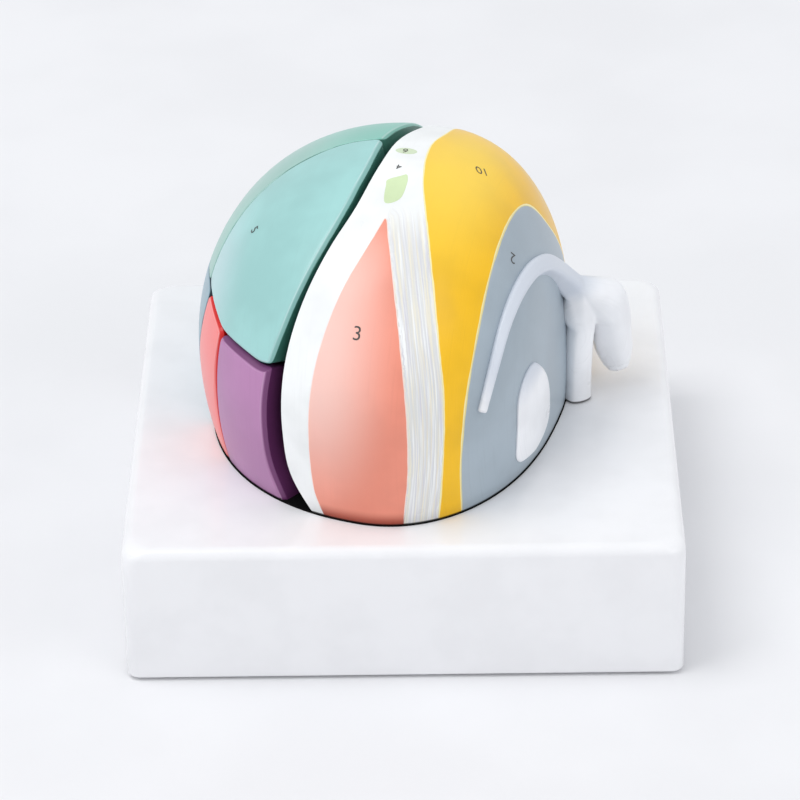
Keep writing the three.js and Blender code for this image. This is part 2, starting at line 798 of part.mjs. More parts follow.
function pinealBody() {
  const shares = [0.62, 1, 1, 0.94, 0.82, 0.55, 0.2];
  return taperedBar(PINEAL_PATH, shares, PINEAL_WIDTH, PINEAL_DEPTH, PINEAL_SQUARENESS);
}

// A geniculate body: an oval knob seated on the surface of the pulvinar
function geniculateBody(direction) {
  const geometry = new THREE.SphereGeometry(1, ROUND_SIDES, OVAL_SIDES);
  geometry.scale(GENICULATE_LENGTH / 2, GENICULATE_WIDTH / 2, GENICULATE_HEIGHT / 2);
  geometry.rotateZ(Math.atan2(direction.y, direction.x) + Math.PI / 2);
  const middle = surface(direction);
  geometry.translate(middle.x, middle.y, middle.z);
  return onBase(solidOf(geometry));
}

const MATERIALS = {
  base: { color: 0xf4f5f7, roughness: 0.25 },
  plate: { color: 0xd9dade, roughness: 0.6 },
  rubber: { color: 0x2b2b2d, roughness: 0.9 },
  steel: { color: 0xb8bcc2, roughness: 0.35, metalness: 1 },
  white: { color: 0xf3f6f6, roughness: 0.35 },
  turquoise: { color: 0xa2d8cf, roughness: 0.35 },
  purple: { color: 0xb87fb4, roughness: 0.35 },
  red: { color: 0xf26a68, roughness: 0.35 },
  blueGrey: { color: 0x9fb9c4, roughness: 0.35 },
  salmon: { color: 0xf0a591, roughness: 0.4 },
  yellow: { color: 0xf5cb3a, roughness: 0.4 },
  grey: { color: 0x98a6b0, roughness: 0.4 },
};

function piece(name, solid, finish) {
  const mesh = new THREE.Mesh(geometryOf(solid), new THREE.MeshStandardMaterial(MATERIALS[finish]));
  mesh.name = name;
  return mesh;
}

// Everything of the thalamus is built about its middle, then turned and set on the base.
function thalamus() {
  const group = new THREE.Group();
  group.position.copy(EGG_CENTRE);
  group.rotation.z = THREE.MathUtils.degToRad(EGG_YAW);
  const clearOfEgg = egg(KNOB_GAP);
  const stria = mainBody(striaMedullaris().subtract(clearOfEgg));
  const habenula = mainBody(onBase(habenulaBar()).subtract(clearOfEgg).subtract(striaMedullaris(JOIN_GAP)));
  const pineal = mainBody(
    pinealBody().subtract(clearOfEgg).subtract(striaMedullaris(JOIN_GAP)).subtract(habenulaBar(JOIN_GAP)),
  );
  const adhesionPad = overZone(adhesion, [
    [ADHESION_EDGE, ADHESION_PROUD],
    [0, ADHESION_PROUD - ADHESION_EDGE],
    [0, -ADHESION_DEPTH],
  ]);
  const inlay = (place) => blockOver(place, INLAY_GAP, INLAY_EDGE, INLAY_DEPTH);
  const outerFinishes = {
    lateral_dorsal: [lateralDorsal, 'turquoise'],
    lateral_posterior: [lateralPosterior, 'turquoise'],
    pulvinar: [pulvinar, 'turquoise'],
    ventral_anterior: [ventralAnterior, 'purple'],
    ventral_lateral: [ventralLateral, 'red'],
    ventral_posterior: [ventralPosterior, 'blueGrey'],
  };
  group.add(piece('thalamus_core', thalamusCore(), 'white'));
  for (const [name, [place, finish]] of Object.entries(outerFinishes)) {
    group.add(piece(name === 'pulvinar' ? name : `${name}_nucleus`, outerBlock(place, PULLS[name]), finish));
    group.add(piece(`${name}_peg`, peg(PULLS[name]), 'steel'));
  }
  const adhesionPocket = pocketOver(adhesion, -JOIN_GAP, ADHESION_DEPTH + SEAT_GAP);
  group.add(piece('anterior_nuclei', inlay(anterior), 'salmon'));
  group.add(piece('mediodorsal_nucleus', inlay(mediodorsal), 'yellow'));
  group.add(piece('midline_nuclei', inlay(midline).subtract(adhesionPocket), 'grey'));
  group.add(piece('interthalamic_adhesion', adhesionPad, 'white'));
  group.add(piece('stria_medullaris', stria, 'white'));
  group.add(piece('habenula', habenula, 'white'));
  group.add(piece('pineal_body', pineal, 'white'));
  for (const [name, azimuth] of [['medial', -178], ['lateral', -148]]) {
    const knob = geniculateBody(around(azimuth, -9)).subtract(clearOfEgg);
    group.add(piece(`${name}_geniculate_body`, knob, 'turquoise'));
  }
  return group;
}

function base() {
  const group = new THREE.Group();
  group.add(piece('base_shell', baseShell(), 'base'));
  group.add(piece('base_plate', basePlate(), 'plate'));
  cornersAt(SCREW_INSET).forEach((place, k) => {
    group.add(piece(`base_screw_${k + 1}`, baseScrew(place), 'steel'));
  });
  cornersAt(FOOT_INSET).forEach((place, k) => {
    group.add(piece(`base_foot_${k + 1}`, baseFoot(place), 'rubber'));
  });
  ['front', 'rear'].forEach((name, k) => {
    const [x, y] = DOWEL_PLACES[k];
    const dowel = cylinder(DOWEL_RADIUS, DOWEL_BOTTOM, BASE_TOP + DOWEL_STAND, x, y);
    group.add(piece(`locating_dowel_${name}`, dowel, 'steel'));
  });
  return group;
}

const model = new THREE.Group();
model.add(base(), thalamus());

export default model;
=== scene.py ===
"""Visual model of a take-apart teaching model of one thalamus on a square white base.

The thalamus is an uneven egg. Its outer side carries separate painted blocks, its inner side has
bonded inlays, a raised ridge, a pad and a bridge, and a white band runs over it between the two.
Everything on the thalamus is built about its middle in millimetres, then turned and set on the base.
"""

import json
import logging
import math
from contextlib import contextmanager
from dataclasses import dataclass, field
from enum import Enum
from typing import Any, Callable, ClassVar, Iterator, Mapping, Sequence

import bmesh
import bpy
import numpy as np
from mathutils import Matrix, Vector
from numpy.typing import NDArray

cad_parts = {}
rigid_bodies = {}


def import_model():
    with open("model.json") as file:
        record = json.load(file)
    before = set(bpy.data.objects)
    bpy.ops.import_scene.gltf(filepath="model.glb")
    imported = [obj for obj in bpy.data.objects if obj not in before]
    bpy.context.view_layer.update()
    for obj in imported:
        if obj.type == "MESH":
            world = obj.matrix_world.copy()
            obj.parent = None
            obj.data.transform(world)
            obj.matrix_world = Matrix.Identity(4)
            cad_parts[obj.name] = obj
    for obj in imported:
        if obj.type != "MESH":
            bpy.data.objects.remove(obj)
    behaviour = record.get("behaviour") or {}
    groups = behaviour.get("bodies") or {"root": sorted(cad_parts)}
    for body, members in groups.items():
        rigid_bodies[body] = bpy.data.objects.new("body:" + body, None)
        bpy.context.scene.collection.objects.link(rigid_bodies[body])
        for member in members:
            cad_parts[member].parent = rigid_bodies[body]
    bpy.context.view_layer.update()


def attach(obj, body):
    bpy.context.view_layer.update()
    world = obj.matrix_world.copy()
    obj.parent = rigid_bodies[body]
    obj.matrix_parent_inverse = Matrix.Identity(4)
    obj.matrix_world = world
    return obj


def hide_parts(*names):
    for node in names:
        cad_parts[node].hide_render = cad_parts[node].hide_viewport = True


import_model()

Array = NDArray[np.float64]
Point = Sequence[float]
Colour = tuple[float, float, float, float]
Height = Callable[[Array, Array], Array]
Marks = Mapping[str, Callable[[Array], Array]]
Socket = bpy.types.NodeSocket
LOG = logging.getLogger("thalamus_model")

METRES = 0.001
WELD = 1e-4

# Fineness of the curved sheets: spacings in millimetres, then counts
RIM_SPACING = 0.2
CAP_SPACING = 0.85
FEWEST_STEPS = 24
MOST_STEPS = 130
SEAM_STEPS = 24
ROUND_SIDES = 64
SPAN_RINGS = 14
DOME_RINGS = 6
SECTION_SIDES = 48
EGG_GRID = (288, 180)
KNOB_GRID = (64, 40)

# Elevation in degrees at which seams run out below the base's top
RUN_OUT = -35.0


def unit(vectors: Array) -> Array:
    """Scale vectors along the last axis to length one."""
    return vectors / np.linalg.norm(vectors, axis=-1, keepdims=True)


def over(turn: float, tilt: float) -> Array:
    """Direction that turns in degrees from the front over the top, then tilts to the inner side."""
    a, b = math.radians(turn), math.radians(tilt)
    return np.array([math.sin(b), -math.cos(b) * math.cos(a), math.cos(b) * math.sin(a)])


def around(azimuth: float, elevation: float) -> Array:
    """Direction that turns in degrees from the front towards the inner side, then rises."""
    a, b = math.radians(azimuth), math.radians(elevation)
    return np.array([math.sin(a) * math.cos(b), -math.cos(a) * math.cos(b), math.sin(b)])


def low(azimuth: float) -> Array:
    """Direction at which a seam runs out of sight below the base's top."""
    return around(azimuth, RUN_OUT)


def spun(points: Array, degrees: float) -> Array:
    """Turn points about the vertical.

    Args:
        points: Points along the last axis, with x and y first.
        degrees: The turn, from x towards y.

    Returns:
        The turned points.
    """
    a = math.radians(degrees)
    x, y = points[..., 0], points[..., 1]
    flat = np.stack([x * math.cos(a) - y * math.sin(a), x * math.sin(a) + y * math.cos(a)], axis=-1)
    return np.concatenate([flat, points[..., 2:]], axis=-1)


def looped(rings: Array) -> Array:
    """Close rings of points: the first point of each is repeated at its end."""
    return np.concatenate([rings, rings[..., :1, :]], axis=-2)


@dataclass(frozen=True)
class EggForm:
    """Shape of the thalamus: a rounded form with its own half size to each of six sides."""

    lateral: float = 61.5
    medial: float = 40.5
    front: float = 66.5
    rear: float = 58.0
    top: float = 59.0
    below: float = 66.0
    power: float = 2.16
    lean_sideways: float = -0.03
    lean_lengthways: float = -0.04
    twist: float = -0.05
    inner_flatness: float = 2.2
    front_fullness: float = 24.0

    def reach(self, directions: Array) -> Array:
        """Distance of the surface from the middle.

        Each coordinate over its half size, to a power a little above two, sums to one on the plain
        form. Products of two coordinates then lean and twist it, a high power of x flattens it, and
        powers of y and z fill out its lower front.

        Args:
            directions: Unit vectors along the last axis.

        Returns:
            Distances in millimetres.
        """
        x, y, z = np.moveaxis(directions, -1, 0)
        across = np.abs(x / np.where(x < 0, self.lateral, self.medial)) ** self.power
        along = np.abs(y / np.where(y < 0, self.front, self.rear)) ** self.power
        upwards = np.abs(z / np.where(z < 0, self.below, self.top)) ** self.power
        even = (across + along + upwards) ** (-1 / self.power)
        lean = self.lean_sideways * x * z + self.lean_lengthways * y * z + self.twist * x * y
        fullness = self.front_fullness * np.maximum(0, -z) ** 2 * np.maximum(0, -y) ** 5
        return even * (1 + lean) + fullness - self.inner_flatness * np.maximum(0, x) ** 6

    def surface(self, directions: Array, standoff: Array | float = 0.0) -> Array:
        """Points in these directions, at a height in millimetres above the surface."""
        return directions * (self.reach(directions) + standoff)[..., None]

    def depth(self, points: Array) -> Array:
        """Depth of points in millimetres below the surface, along the line to the middle."""
        radius = np.linalg.norm(points, axis=-1)
        return self.reach(points / radius[..., None]) - radius


@dataclass(frozen=True)
class Stand:
    """Where the parts meet: heights of the base, place of the thalamus on it, dowels and fits."""

    foot_proud: float = 0.8
    base_height: float = 40.0
    x: float = 5.5
    y: float = 1.0
    yaw: float = -16.5
    centre_rise: float = 21.5
    dowel_radius: float = 4.0
    dowel_stand: float = 12.0
    dowel_sink: float = 16.0
    dowel_spread: float = 46.0
    join_gap: float = 0.3
    seat_gap: float = 0.5
    peg_fit: float = 0.15
    slide_fit: float = 0.3

    @property
    def top(self) -> float:
        """Height of the base's top."""
        return self.foot_proud + self.base_height

    @property
    def seat(self) -> float:
        """Height of the casting's flat foot, measured from the thalamus's middle."""
        return self.join_gap - self.centre_rise

    def dowels(self) -> dict[str, tuple[float, float, float]]:
        """Places of the two dowels on the base, by name."""
        half = self.dowel_spread / 2
        return {"front": (self.x, self.y - half, 0.0), "rear": (self.x, self.y + half, 0.0)}

    def dowels_from_middle(self) -> Array:
        """Places of the two dowels in the thalamus's own frame."""
        return spun(np.array(list(self.dowels().values())) - (self.x, self.y, 0.0), -self.yaw)


@dataclass(frozen=True)
class Setting:
    """Where a group of pieces stands: turned about the vertical, then moved, then put in metres."""

    yaw: float = 0.0
    middle: tuple[float, float, float] = (0.0, 0.0, 0.0)

    def placed(self, points: Array) -> Array:
        """Turn and move points in the group's frame, and scale them to metres."""
        return (spun(points, self.yaw) + np.array(self.middle)) * METRES


EGG = EggForm()
STAND = Stand()
ON_BASE = Setting(STAND.yaw, (STAND.x, STAND.y, STAND.top + STAND.centre_rise))
AT_ORIGIN = Setting()


# Smooth lines
def smooth_path(points: Array, per_span: int) -> Array:
    """Smooth line through points.

    Each span is a cubic whose slope at a point is half the step between that point's neighbours.
    Past each end, the last step is repeated.

    Args:
        points: Points of the line, one in each row.
        per_span: Steps made in each span.

    Returns:
        The points of the smooth line, both ends included.
    """
    padded = np.vstack([2 * points[:1] - points[1:2], points, 2 * points[-1:] - points[-2:-1]])
    p0, p1, p2, p3 = (padded[k : k + len(points) - 1, None] for k in range(4))
    t = np.linspace(0, 1, per_span, endpoint=False)[None, :, None]
    cubic = (p3 - p0 + 3 * (p1 - p2)) / 2
    square = p0 - 2.5 * p1 + 2 * p2 - 0.5 * p3
    line = p1 + t * ((p2 - p0) / 2 + t * (square + t * cubic))
    return np.vstack([line.reshape(-1, points.shape[1]), points[-1:]])


def seam(*spots: Array | tuple[float, float]) -> Array:
    """Smooth seam over the surface.

    Args:
        spots: Directions that it passes through, or pairs of turn and tilt for over().

    Returns:
        Unit vectors along the seam.
    """
    directions = [over(*spot) if isinstance(spot, tuple) else spot for spot in spots]
    return unit(smooth_path(np.array(directions), SEAM_STEPS))


def joined(*seams: Array) -> Array:
    """One seam from several that follow on from each other."""
    return np.vstack([seams[0], *(s[1:] for s in seams[1:])])


def raised(path: Array, degrees: float) -> Array:
    """Seam turned from the front up over the top, so that a wider gap opens below it."""
    return np.roll(spun(np.roll(path, -1, axis=1), -degrees), 1, axis=1)


def at_marks(path: Array, marks: Array, wanted: Array) -> Array:
    """Points of a path at wanted distances along it.

    Args:
        path: Points, N x 3.
        marks: Distance of each point along the path.
        wanted: Distances at which points are wanted.

    Returns:
        One point for each wanted distance.
    """
    return np.stack([np.interp(wanted, marks, column) for column in path.T], axis=-1)


def eased(count: int) -> Array:
    """Shares from 0 to 1, closer together at both ends, where edges need fine rows.

    A cosine is mixed with an even spacing.

    Args:
        count: Number of steps.

    Returns:
        The shares, one more than the steps.
    """
    even = np.linspace(0, 1, count + 1)
    return 0.12 * even + 0.88 * (1 - np.cos(np.pi * even)) / 2


def blurred(values: Array, spread: float) -> Array:
    """Blur a closed row of values with a bell curve.

    Args:
        values: Values in order round a closed line, N x K.
        spread: Standard deviation of the bell, in samples.

    Returns:
        The blurred values.
    """
    waves = np.fft.fftfreq(len(values))
    fade = np.exp(-2 * (np.pi * spread * waves) ** 2)[:, None]
    return np.fft.ifft(np.fft.fft(values, axis=0) * fade, axis=0).real


def edge_drop(away: Array, bevel: Array) -> Array:
    """Millimetres that a worked edge loses towards the rim.

    The share of the bevel still to go, to a power just over one, gives a crisp crest line and then
    a nearly flat facet at a little under 45 degrees.

    Args:
        away: Distance from the rim in millimetres.
        bevel: Width of the bevel in millimetres.

    Returns:
        Millimetres below the surface.
    """
    return 0.9 * bevel * np.clip(1 - away / bevel, 0, 1) ** 1.15


@dataclass(frozen=True)
class Bevels:
    """Widths of the worked edge along the four seams of a zone, in millimetres."""

    near: float = 0.5
    right: float = 0.5
    far: float = 0.5
    left: float = 0.5


@dataclass(frozen=True)
class Zone:
    """An area of the surface inside four seams, as a dense rim with softened corners."""

    rim: Array
    corners: tuple[int, ...]
    bevel: Array
    turning: float
    across: int
    along: int

    @classmethod
    def between(cls, near: Array, right: Array, far: Array, left: Array,
                bevels: Bevels = Bevels(), softness: float = 1.4) -> "Zone":
        """Make a zone from four seams. left and right run the same way, and so do near and far.

        Args:
            near: Seam from the left corner to the right corner at the near end.
            right: Seam along the right side.
            far: Seam at the far end.
            left: Seam along the left side.
            bevels: Width of the worked edge along each seam.
            softness: Spread in millimetres of the bell that rounds the corners.

        Returns:
            The zone.
        """
        sides = [near, right, far[::-1], left[::-1]]
        path = np.vstack([*(side[:-1] for side in sides), near[:1]])
        steps = np.linalg.norm(np.diff(path, axis=0), axis=1) * EGG.reach(unit(path[1:] + path[:-1]))
        marks = np.concatenate([[0.0], np.cumsum(steps)])
        ends = marks[np.cumsum([0, *(len(side) - 1 for side in sides)])]
        count = int(marks[-1] / RIM_SPACING)
        wanted = np.linspace(0, marks[-1], count, endpoint=False)
        spread = softness / RIM_SPACING
        rim = unit(blurred(at_marks(path, marks, wanted), spread))
        widths = np.array([bevels.near, bevels.right, bevels.far, bevels.left])
        side_of = np.minimum(np.searchsorted(ends[1:], wanted, side="right"), 3)
        bevel = blurred(widths[side_of][:, None], spread)[:, 0]
        loops = np.cross(rim, np.roll(rim, -1, axis=0)) @ rim.sum(axis=0)
        lengths = np.diff(ends)
        longest = np.maximum(lengths[:2], lengths[2:]) / CAP_SPACING
        across, along = (int(steps) for steps in np.clip(longest, FEWEST_STEPS, MOST_STEPS))
        corners = tuple(int(round(end / marks[-1] * count)) for end in ends)
        return cls(rim, corners, bevel, float(np.sign(loops.sum())), across, along)

    def drawn_in(self, inset: float) -> Array:
        """The dense rim, moved inwards over the surface.

        Args:
            inset: Millimetres inwards, or outwards where negative.

        Returns:
            Unit vectors round the rim.
        """
        along = np.roll(self.rim, -1, axis=0) - np.roll(self.rim, 1, axis=0)
        inwards = self.turning * unit(np.cross(self.rim, along))
        return unit(self.rim + inwards * (inset / EGG.reach(self.rim))[:, None])

    def ring(self, inset: float) -> Array:
        """Points round the drawn-in rim, close together near the four corners.

        Args:
            inset: Millimetres inwards, or outwards where negative.

        Returns:
            Unit vectors, first the near side, then right, far and left.
        """
        counts = (self.across, self.along) * 2
        sides = zip(self.corners, np.diff(self.corners), counts)
        marks = np.concatenate([start + span * eased(count)[:-1] for start, span, count in sides])
        rim = self.drawn_in(inset)
        before = np.floor(marks).astype(int)
        part = (marks - before)[:, None]
        return unit(rim[before % len(rim)] * (1 - part) + rim[(before + 1) % len(rim)] * part)

    def filled(self, ring: Array) -> Array:
        """Fill a ring with a grid of directions.

        Each direction is the blend of near and far, plus the blend of left and right, less the blend
        of the four corners, with the shares of eased().

        Args:
            ring: Unit vectors from ring().

        Returns:
            Unit vectors, rows from near to far.
        """
        a, b = self.across, self.along
        u, v = eased(a)[None, :, None], eased(b)[:, None, None]
        closed = looped(ring)
        near, far = closed[: a + 1][None], closed[a + b : 2 * a + b + 1][::-1][None]
        right, left = closed[a : a + b + 1][:, None], closed[2 * a + b :][::-1][:, None]
        corners = (
            near[:, :1] * (1 - u) * (1 - v) + near[:, -1:] * u * (1 - v)
            + far[:, :1] * (1 - u) * v + far[:, -1:] * u * v
        )
        return unit(near * (1 - v) + far * v + left * (1 - u) + right * u - corners)

    def from_rim(self, directions: Array, inset: float) -> tuple[Array, Array]:
        """Distance to the rim, and the bevel's width there.

        Args:
            directions: Unit vectors along the last axis.
            inset: How far the rim is drawn in, in millimetres.

        Returns:
            Distances and bevel widths in millimetres.
        """
        rim = self.drawn_in(inset)
        flat = directions.reshape(-1, 3)
        nearest = np.argmax(flat @ rim.T, axis=1)
        away = np.linalg.norm(flat - rim[nearest], axis=1) * EGG.reach(flat)
        shape = directions.shape[:-1]
        return away.reshape(shape), self.bevel[nearest].reshape(shape)


# Closed bodies
@contextmanager
def edited(mesh: bpy.types.Mesh) -> Iterator[bmesh.types.BMesh]:
    """Open a mesh for changes, then write it back with its faces outwards.

    Args:
        mesh: The mesh.

    Yields:
        The open mesh.
    """
    work = bmesh.new()
    work.from_mesh(mesh)
    yield work
    bmesh.ops.recalc_face_normals(work, faces=work.faces)
    work.to_mesh(mesh)
    work.free()


def linked(name: str, data: bpy.types.ID) -> bpy.types.Object:
    """Make an object in the scene.

    Args:
        name: Its name.
        data: The mesh, curve, lamp or camera that it holds.

    Returns:
        The object.
    """
    item = bpy.data.objects.new(name, data)
    bpy.context.scene.collection.objects.link(item)
    return item


def baked(item: bpy.types.Object) -> bpy.types.Mesh:
    """Mesh of an object as its modifiers or its text make it.

    Args:
        item: The object, which is used up with its data.

    Returns:
        The mesh.
    """
    source = item.data
    graph = bpy.context.evaluated_depsgraph_get()
    mesh = bpy.data.meshes.new_from_object(item.evaluated_get(graph))
    bpy.data.objects.remove(item)
    bpy.data.batch_remove([source])
    return mesh


class Operation(Enum):
    """How one body is combined with another, by the modifier's own words."""

    CUT = "DIFFERENCE"
    FUSE = "UNION"
    OVERLAP = "INTERSECT"


class Solid:
    """A closed body in millimetres, held as a mesh while it is shaped."""

    def __init__(self, mesh: bpy.types.Mesh) -> None:
        """Take up a mesh."""
        self.mesh = mesh

    @classmethod
    def welded(cls, *sheets: Array) -> "Solid":
        """Join grids of points whose borders meet into one closed body.

        Args:
            sheets: Grids, rows x columns x 3. A row that is one point closes a pole.

        Returns:
            The body, with its faces outwards.
        """
        corners, start = [], 0
        for sheet in sheets:
            rows, columns = sheet.shape[:2]
            index = start + np.arange(rows * columns).reshape(rows, columns)
            square = np.stack([index[:-1, :-1], index[:-1, 1:], index[1:, 1:], index[1:, :-1]], axis=-1)
            corners.append(square.reshape(-1, 4))
            start += rows * columns
        mesh = bpy.data.meshes.new("solid")
        points = np.vstack([sheet.reshape(-1, 3) for sheet in sheets])
        mesh.from_pydata(points.tolist(), [], np.vstack(corners).tolist())
        with edited(mesh) as work:
            bmesh.ops.remove_doubles(work, verts=work.verts, dist=WELD)
            bmesh.ops.dissolve_degenerate(work, edges=work.edges, dist=WELD)
        return cls(mesh)

    @classmethod
    def hull(cls, points: Array) -> "Solid":
        """The tightest body without hollows round a cloud of points.

        Args:
            points: The cloud, one point in each row.

        Returns:
            The body.
        """
        mesh = bpy.data.meshes.new("hull")
        mesh.from_pydata(points.tolist(), [], [])
        with edited(mesh) as work:
            made = bmesh.ops.convex_hull(work, input=work.verts)
            spare = {*made["geom_interior"], *made["geom_unused"]} & {*work.verts}
            bmesh.ops.delete(work, geom=list(spare), context="VERTS")
        return cls(mesh)

    def points(self) -> Array:
        """Places of the vertices.

        Returns:
            Points, one in each row.
        """
        flat = np.empty(len(self.mesh.vertices) * 3)
        self.mesh.vertices.foreach_get("co", flat)
        return flat.reshape(-1, 3)

    def moved(self, points: Array) -> "Solid":
        """Put the vertices at these places."""
        self.mesh.vertices.foreach_set("co", points.ravel())
        return self

    def melted(self, voxel: float, passes: int) -> "Solid":
        """Give the body one even skin, then round its creases and corners.

        Args:
            voxel: Size in millimetres of the skin's faces.
            passes: How often each point moves half way to the mean of its neighbours.

        Returns:
            The soft body.
        """
        host = linked("work", self.mesh)
        skin = host.modifiers.new("skin", "REMESH")
        skin.mode = "VOXEL"
        skin.voxel_size = voxel
        rounding = host.modifiers.new("rounding", "SMOOTH")
        rounding.factor = 0.5
        rounding.iterations = passes
        return Solid(baked(host))

    def combined(self, operation: Operation, *others: "Solid") -> "Solid":
        """Combine with other bodies, one after the other.

        Args:
            operation: How they are combined.
            others: The other bodies, which are used up.

        Returns:
            The combined body.
        """
        mesh = self.mesh
        for other in others:
            host, tool = linked("work", mesh), linked("tool", other.mesh)
            modifier = host.modifiers.new("combine", "BOOLEAN")
            modifier.operation = operation.value
            modifier.solver = "MANIFOLD"
            modifier.object = tool
            mesh = baked(host)
            bpy.data.batch_remove([tool, other.mesh])
        return Solid(mesh)

    def cut(self, *others: "Solid") -> "Solid":
        """Take other bodies away from this one."""
        return self.combined(Operation.CUT, *others)

    def fused(self, *others: "Solid") -> "Solid":
        """Add other bodies to this one."""
        return self.combined(Operation.FUSE, *others)

    def seated(self) -> "Solid":
        """Cut the body off flat where the thalamus stands on the base, and close the cut.

        Returns:
            The same body.
        """
        with edited(self.mesh) as work:
            everything = [*work.verts, *work.edges, *work.faces]
            bmesh.ops.bisect_plane(work, geom=everything, dist=WELD, plane_co=(0, 0, STAND.seat),
                                   plane_no=(0, 0, -1), clear_outer=True)
            rim = [edge for edge in work.edges if edge.is_boundary]
            filled = bmesh.ops.holes_fill(work, edges=rim, sides=0)
            bmesh.ops.triangulate(work, faces=filled["faces"])
        return self

    def largest(self) -> "Solid":
        """Keep only the largest of the separate bodies, without slivers that a cut leaves.

        The two ends of each edge take the lower of their numbers, over and over, until each body has
        one number of its own.

        Returns:
            The same body.
        """
        flat = np.empty(len(self.mesh.edges) * 2, dtype=np.int32)
        self.mesh.edges.foreach_get("vertices", flat)
        first, second = flat.reshape(-1, 2).T
        numbers = np.arange(len(self.mesh.vertices))
        while (numbers[first] != numbers[second]).any():
            lower = np.minimum(numbers[first], numbers[second])
            for ends in (first, second):
                np.minimum.at(numbers, ends, lower)
            numbers = numbers[numbers]
        kept = np.bincount(numbers).argmax()
        with edited(self.mesh) as work:
            slivers = [vertex for vertex, number in zip(work.verts, numbers) if number != kept]
            bmesh.ops.delete(work, geom=slivers, context="VERTS")
        return self


def lofted(rings: Sequence[Array] | Array) -> Solid:
    """Closed body through rings, with a fan from each end's ring to the mean of its points.

    Args:
        rings: Rings with equal counts of points, one after the other.

    Returns:
        The body.
    """
    stack = looped(np.array(rings))
    fans = (np.stack([ring, np.broadcast_to(ring[:-1].mean(axis=0), ring.shape)]) for ring in stack[[0, -1]])
    return Solid.welded(stack, *fans)


def turned(profile: Sequence[tuple[float, float]], foot: Point = (0, 0, 0), axis: Point = (0, 0, 1),
           sides: int = ROUND_SIDES) -> Solid:
    """Body of revolution.

    Each station of the profile is a circle round the axis, at its own radius and height.

    Args:
        profile: Stations of (radius, height along the axis), from one end to the other.
        foot: Point that heights are measured from.
        axis: Direction of the axis.
        sides: Points round.

    Returns:
        The body.
    """
    lift = unit(np.array(axis, dtype=float))
    helper = np.array([0.0, 1.0, 0.0]) if abs(lift[1]) < 0.9 else np.array([1.0, 0.0, 0.0])
    first = unit(np.cross(helper, lift))
    second = np.cross(lift, first)
    angles = np.linspace(0, 2 * np.pi, sides, endpoint=False)[None, :, None]
    radii, heights = (column[:, None, None] for column in np.array(profile).T)
    outwards = np.cos(angles) * first + np.sin(angles) * second
    return lofted(np.array(foot) + heights * lift + radii * outwards)


def rod(radius: float, start: float, end: float, foot: Point = (0, 0, 0), axis: Point = (0, 0, 1),
        chamfer: float = 0.0) -> Solid:
    """Round rod.

    Args:
        radius: Radius of the rod.
        start: Height of one end above the foot, along the axis.
        end: Height of the other end.
        foot: Point that heights are measured from.
        axis: Direction of the axis.
        chamfer: Size of the chamfer at both ends.

    Returns:
        The rod.
    """
    profile = [(radius, start), (radius, end)]
    if chamfer:
        profile = [(radius - chamfer, start), (radius, start + chamfer)]
        profile += [(radius, end - chamfer), (radius - chamfer, end)]
    return turned(profile, foot, axis)


def brick(corner: Point, opposite: Point) -> Solid:
    """Plain box between two corners, used to cut.

    Args:
        corner: The lowest corner.
        opposite: The highest corner.

    Returns:
        The box.
    """
    (x0, y0, z0), (x1, y1, z1) = corner, opposite
    return lofted([[(x0, y0, z), (x1, y0, z), (x1, y1, z), (x0, y1, z)] for z in (z0, z1)])


def over_zone(zone: Zone, inset: float, depth: float, height: Height) -> Solid:
    """Body over a zone, with walls that point at the middle of the thalamus.

    The top and the underside are the zone's grid of directions at two distances from the middle,
    and the wall joins their borders.

    Args:
        zone: The area that the body covers.
        inset: How far its walls stand inside the zone's seams.
        depth: How far it reaches below the surface.
        height: Gives the top's height above the surface from the distance to the rim and the bevel.

    Returns:
        The body, cut off at the seat.
    """
    ring = zone.ring(inset)
    cap = zone.filled(ring)
    away, bevel = zone.from_rim(cap, inset)
    away[[0, -1], :] = 0
    away[:, [0, -1]] = 0
    closed = looped(ring)
    _, lip_bevel = zone.from_rim(closed, inset)
    lip = height(np.zeros(len(closed)), lip_bevel)
    rows = np.array([0.0, 0.04, 0.3, 1.0])[:, None]
    wall = EGG.surface(closed[None], lip * (1 - rows) - depth * rows)
    return Solid.welded(EGG.surface(cap, height(away, bevel)), wall, EGG.surface(cap, -depth)).seated()


def pocket_over(zone: Zone, depth: float, flare: float) -> Solid:
    """Cutter for a pocket whose upper edge is rounded.

    Seen across the rim, the wall rises straight, then leans out along part of a quarter circle.

    Args:
        zone: The area that the pocket covers.
        depth: Depth below the surface.
        flare: Radius of the rounded upper edge.

    Returns:
        The cutter.
    """
    clear = 3.0
    stations = [(0.0, -depth), (0.0, -depth / 2)]
    for a in np.radians(np.linspace(0, 75, 7)):
        stations.append((-flare * (1 - math.cos(a)), -flare * (1 - math.sin(a))))
    stations.append((-1.5 * flare, clear))
    wall = looped(np.array([EGG.surface(zone.ring(inset), height) for inset, height in stations]))
    ends = (stations[0], stations[-1])
    return Solid.welded(wall, *(EGG.surface(zone.filled(zone.ring(inset)), height) for inset, height in ends))


def ball(steps_round: int, steps_up: int) -> Array:
    """Grid of directions all round, with its poles at top and bottom.

    One angle goes round the vertical and one rises above the horizon. The cosine of the second,
    times the cosine and the sine of the first, gives x and y, and its sine gives z.

    Args:
        steps_round: Steps of the angle round the vertical.
        steps_up: Steps of the angle above the horizon.

    Returns:
        Unit vectors, one row for each height.
    """
    turns, tilts = np.meshgrid(
        np.linspace(0, 2 * np.pi, steps_round + 1), np.linspace(-np.pi / 2, np.pi / 2, steps_up + 1)
    )
    return np.stack([np.cos(tilts) * np.cos(turns), np.cos(tilts) * np.sin(turns), np.sin(tilts)], axis=-1)


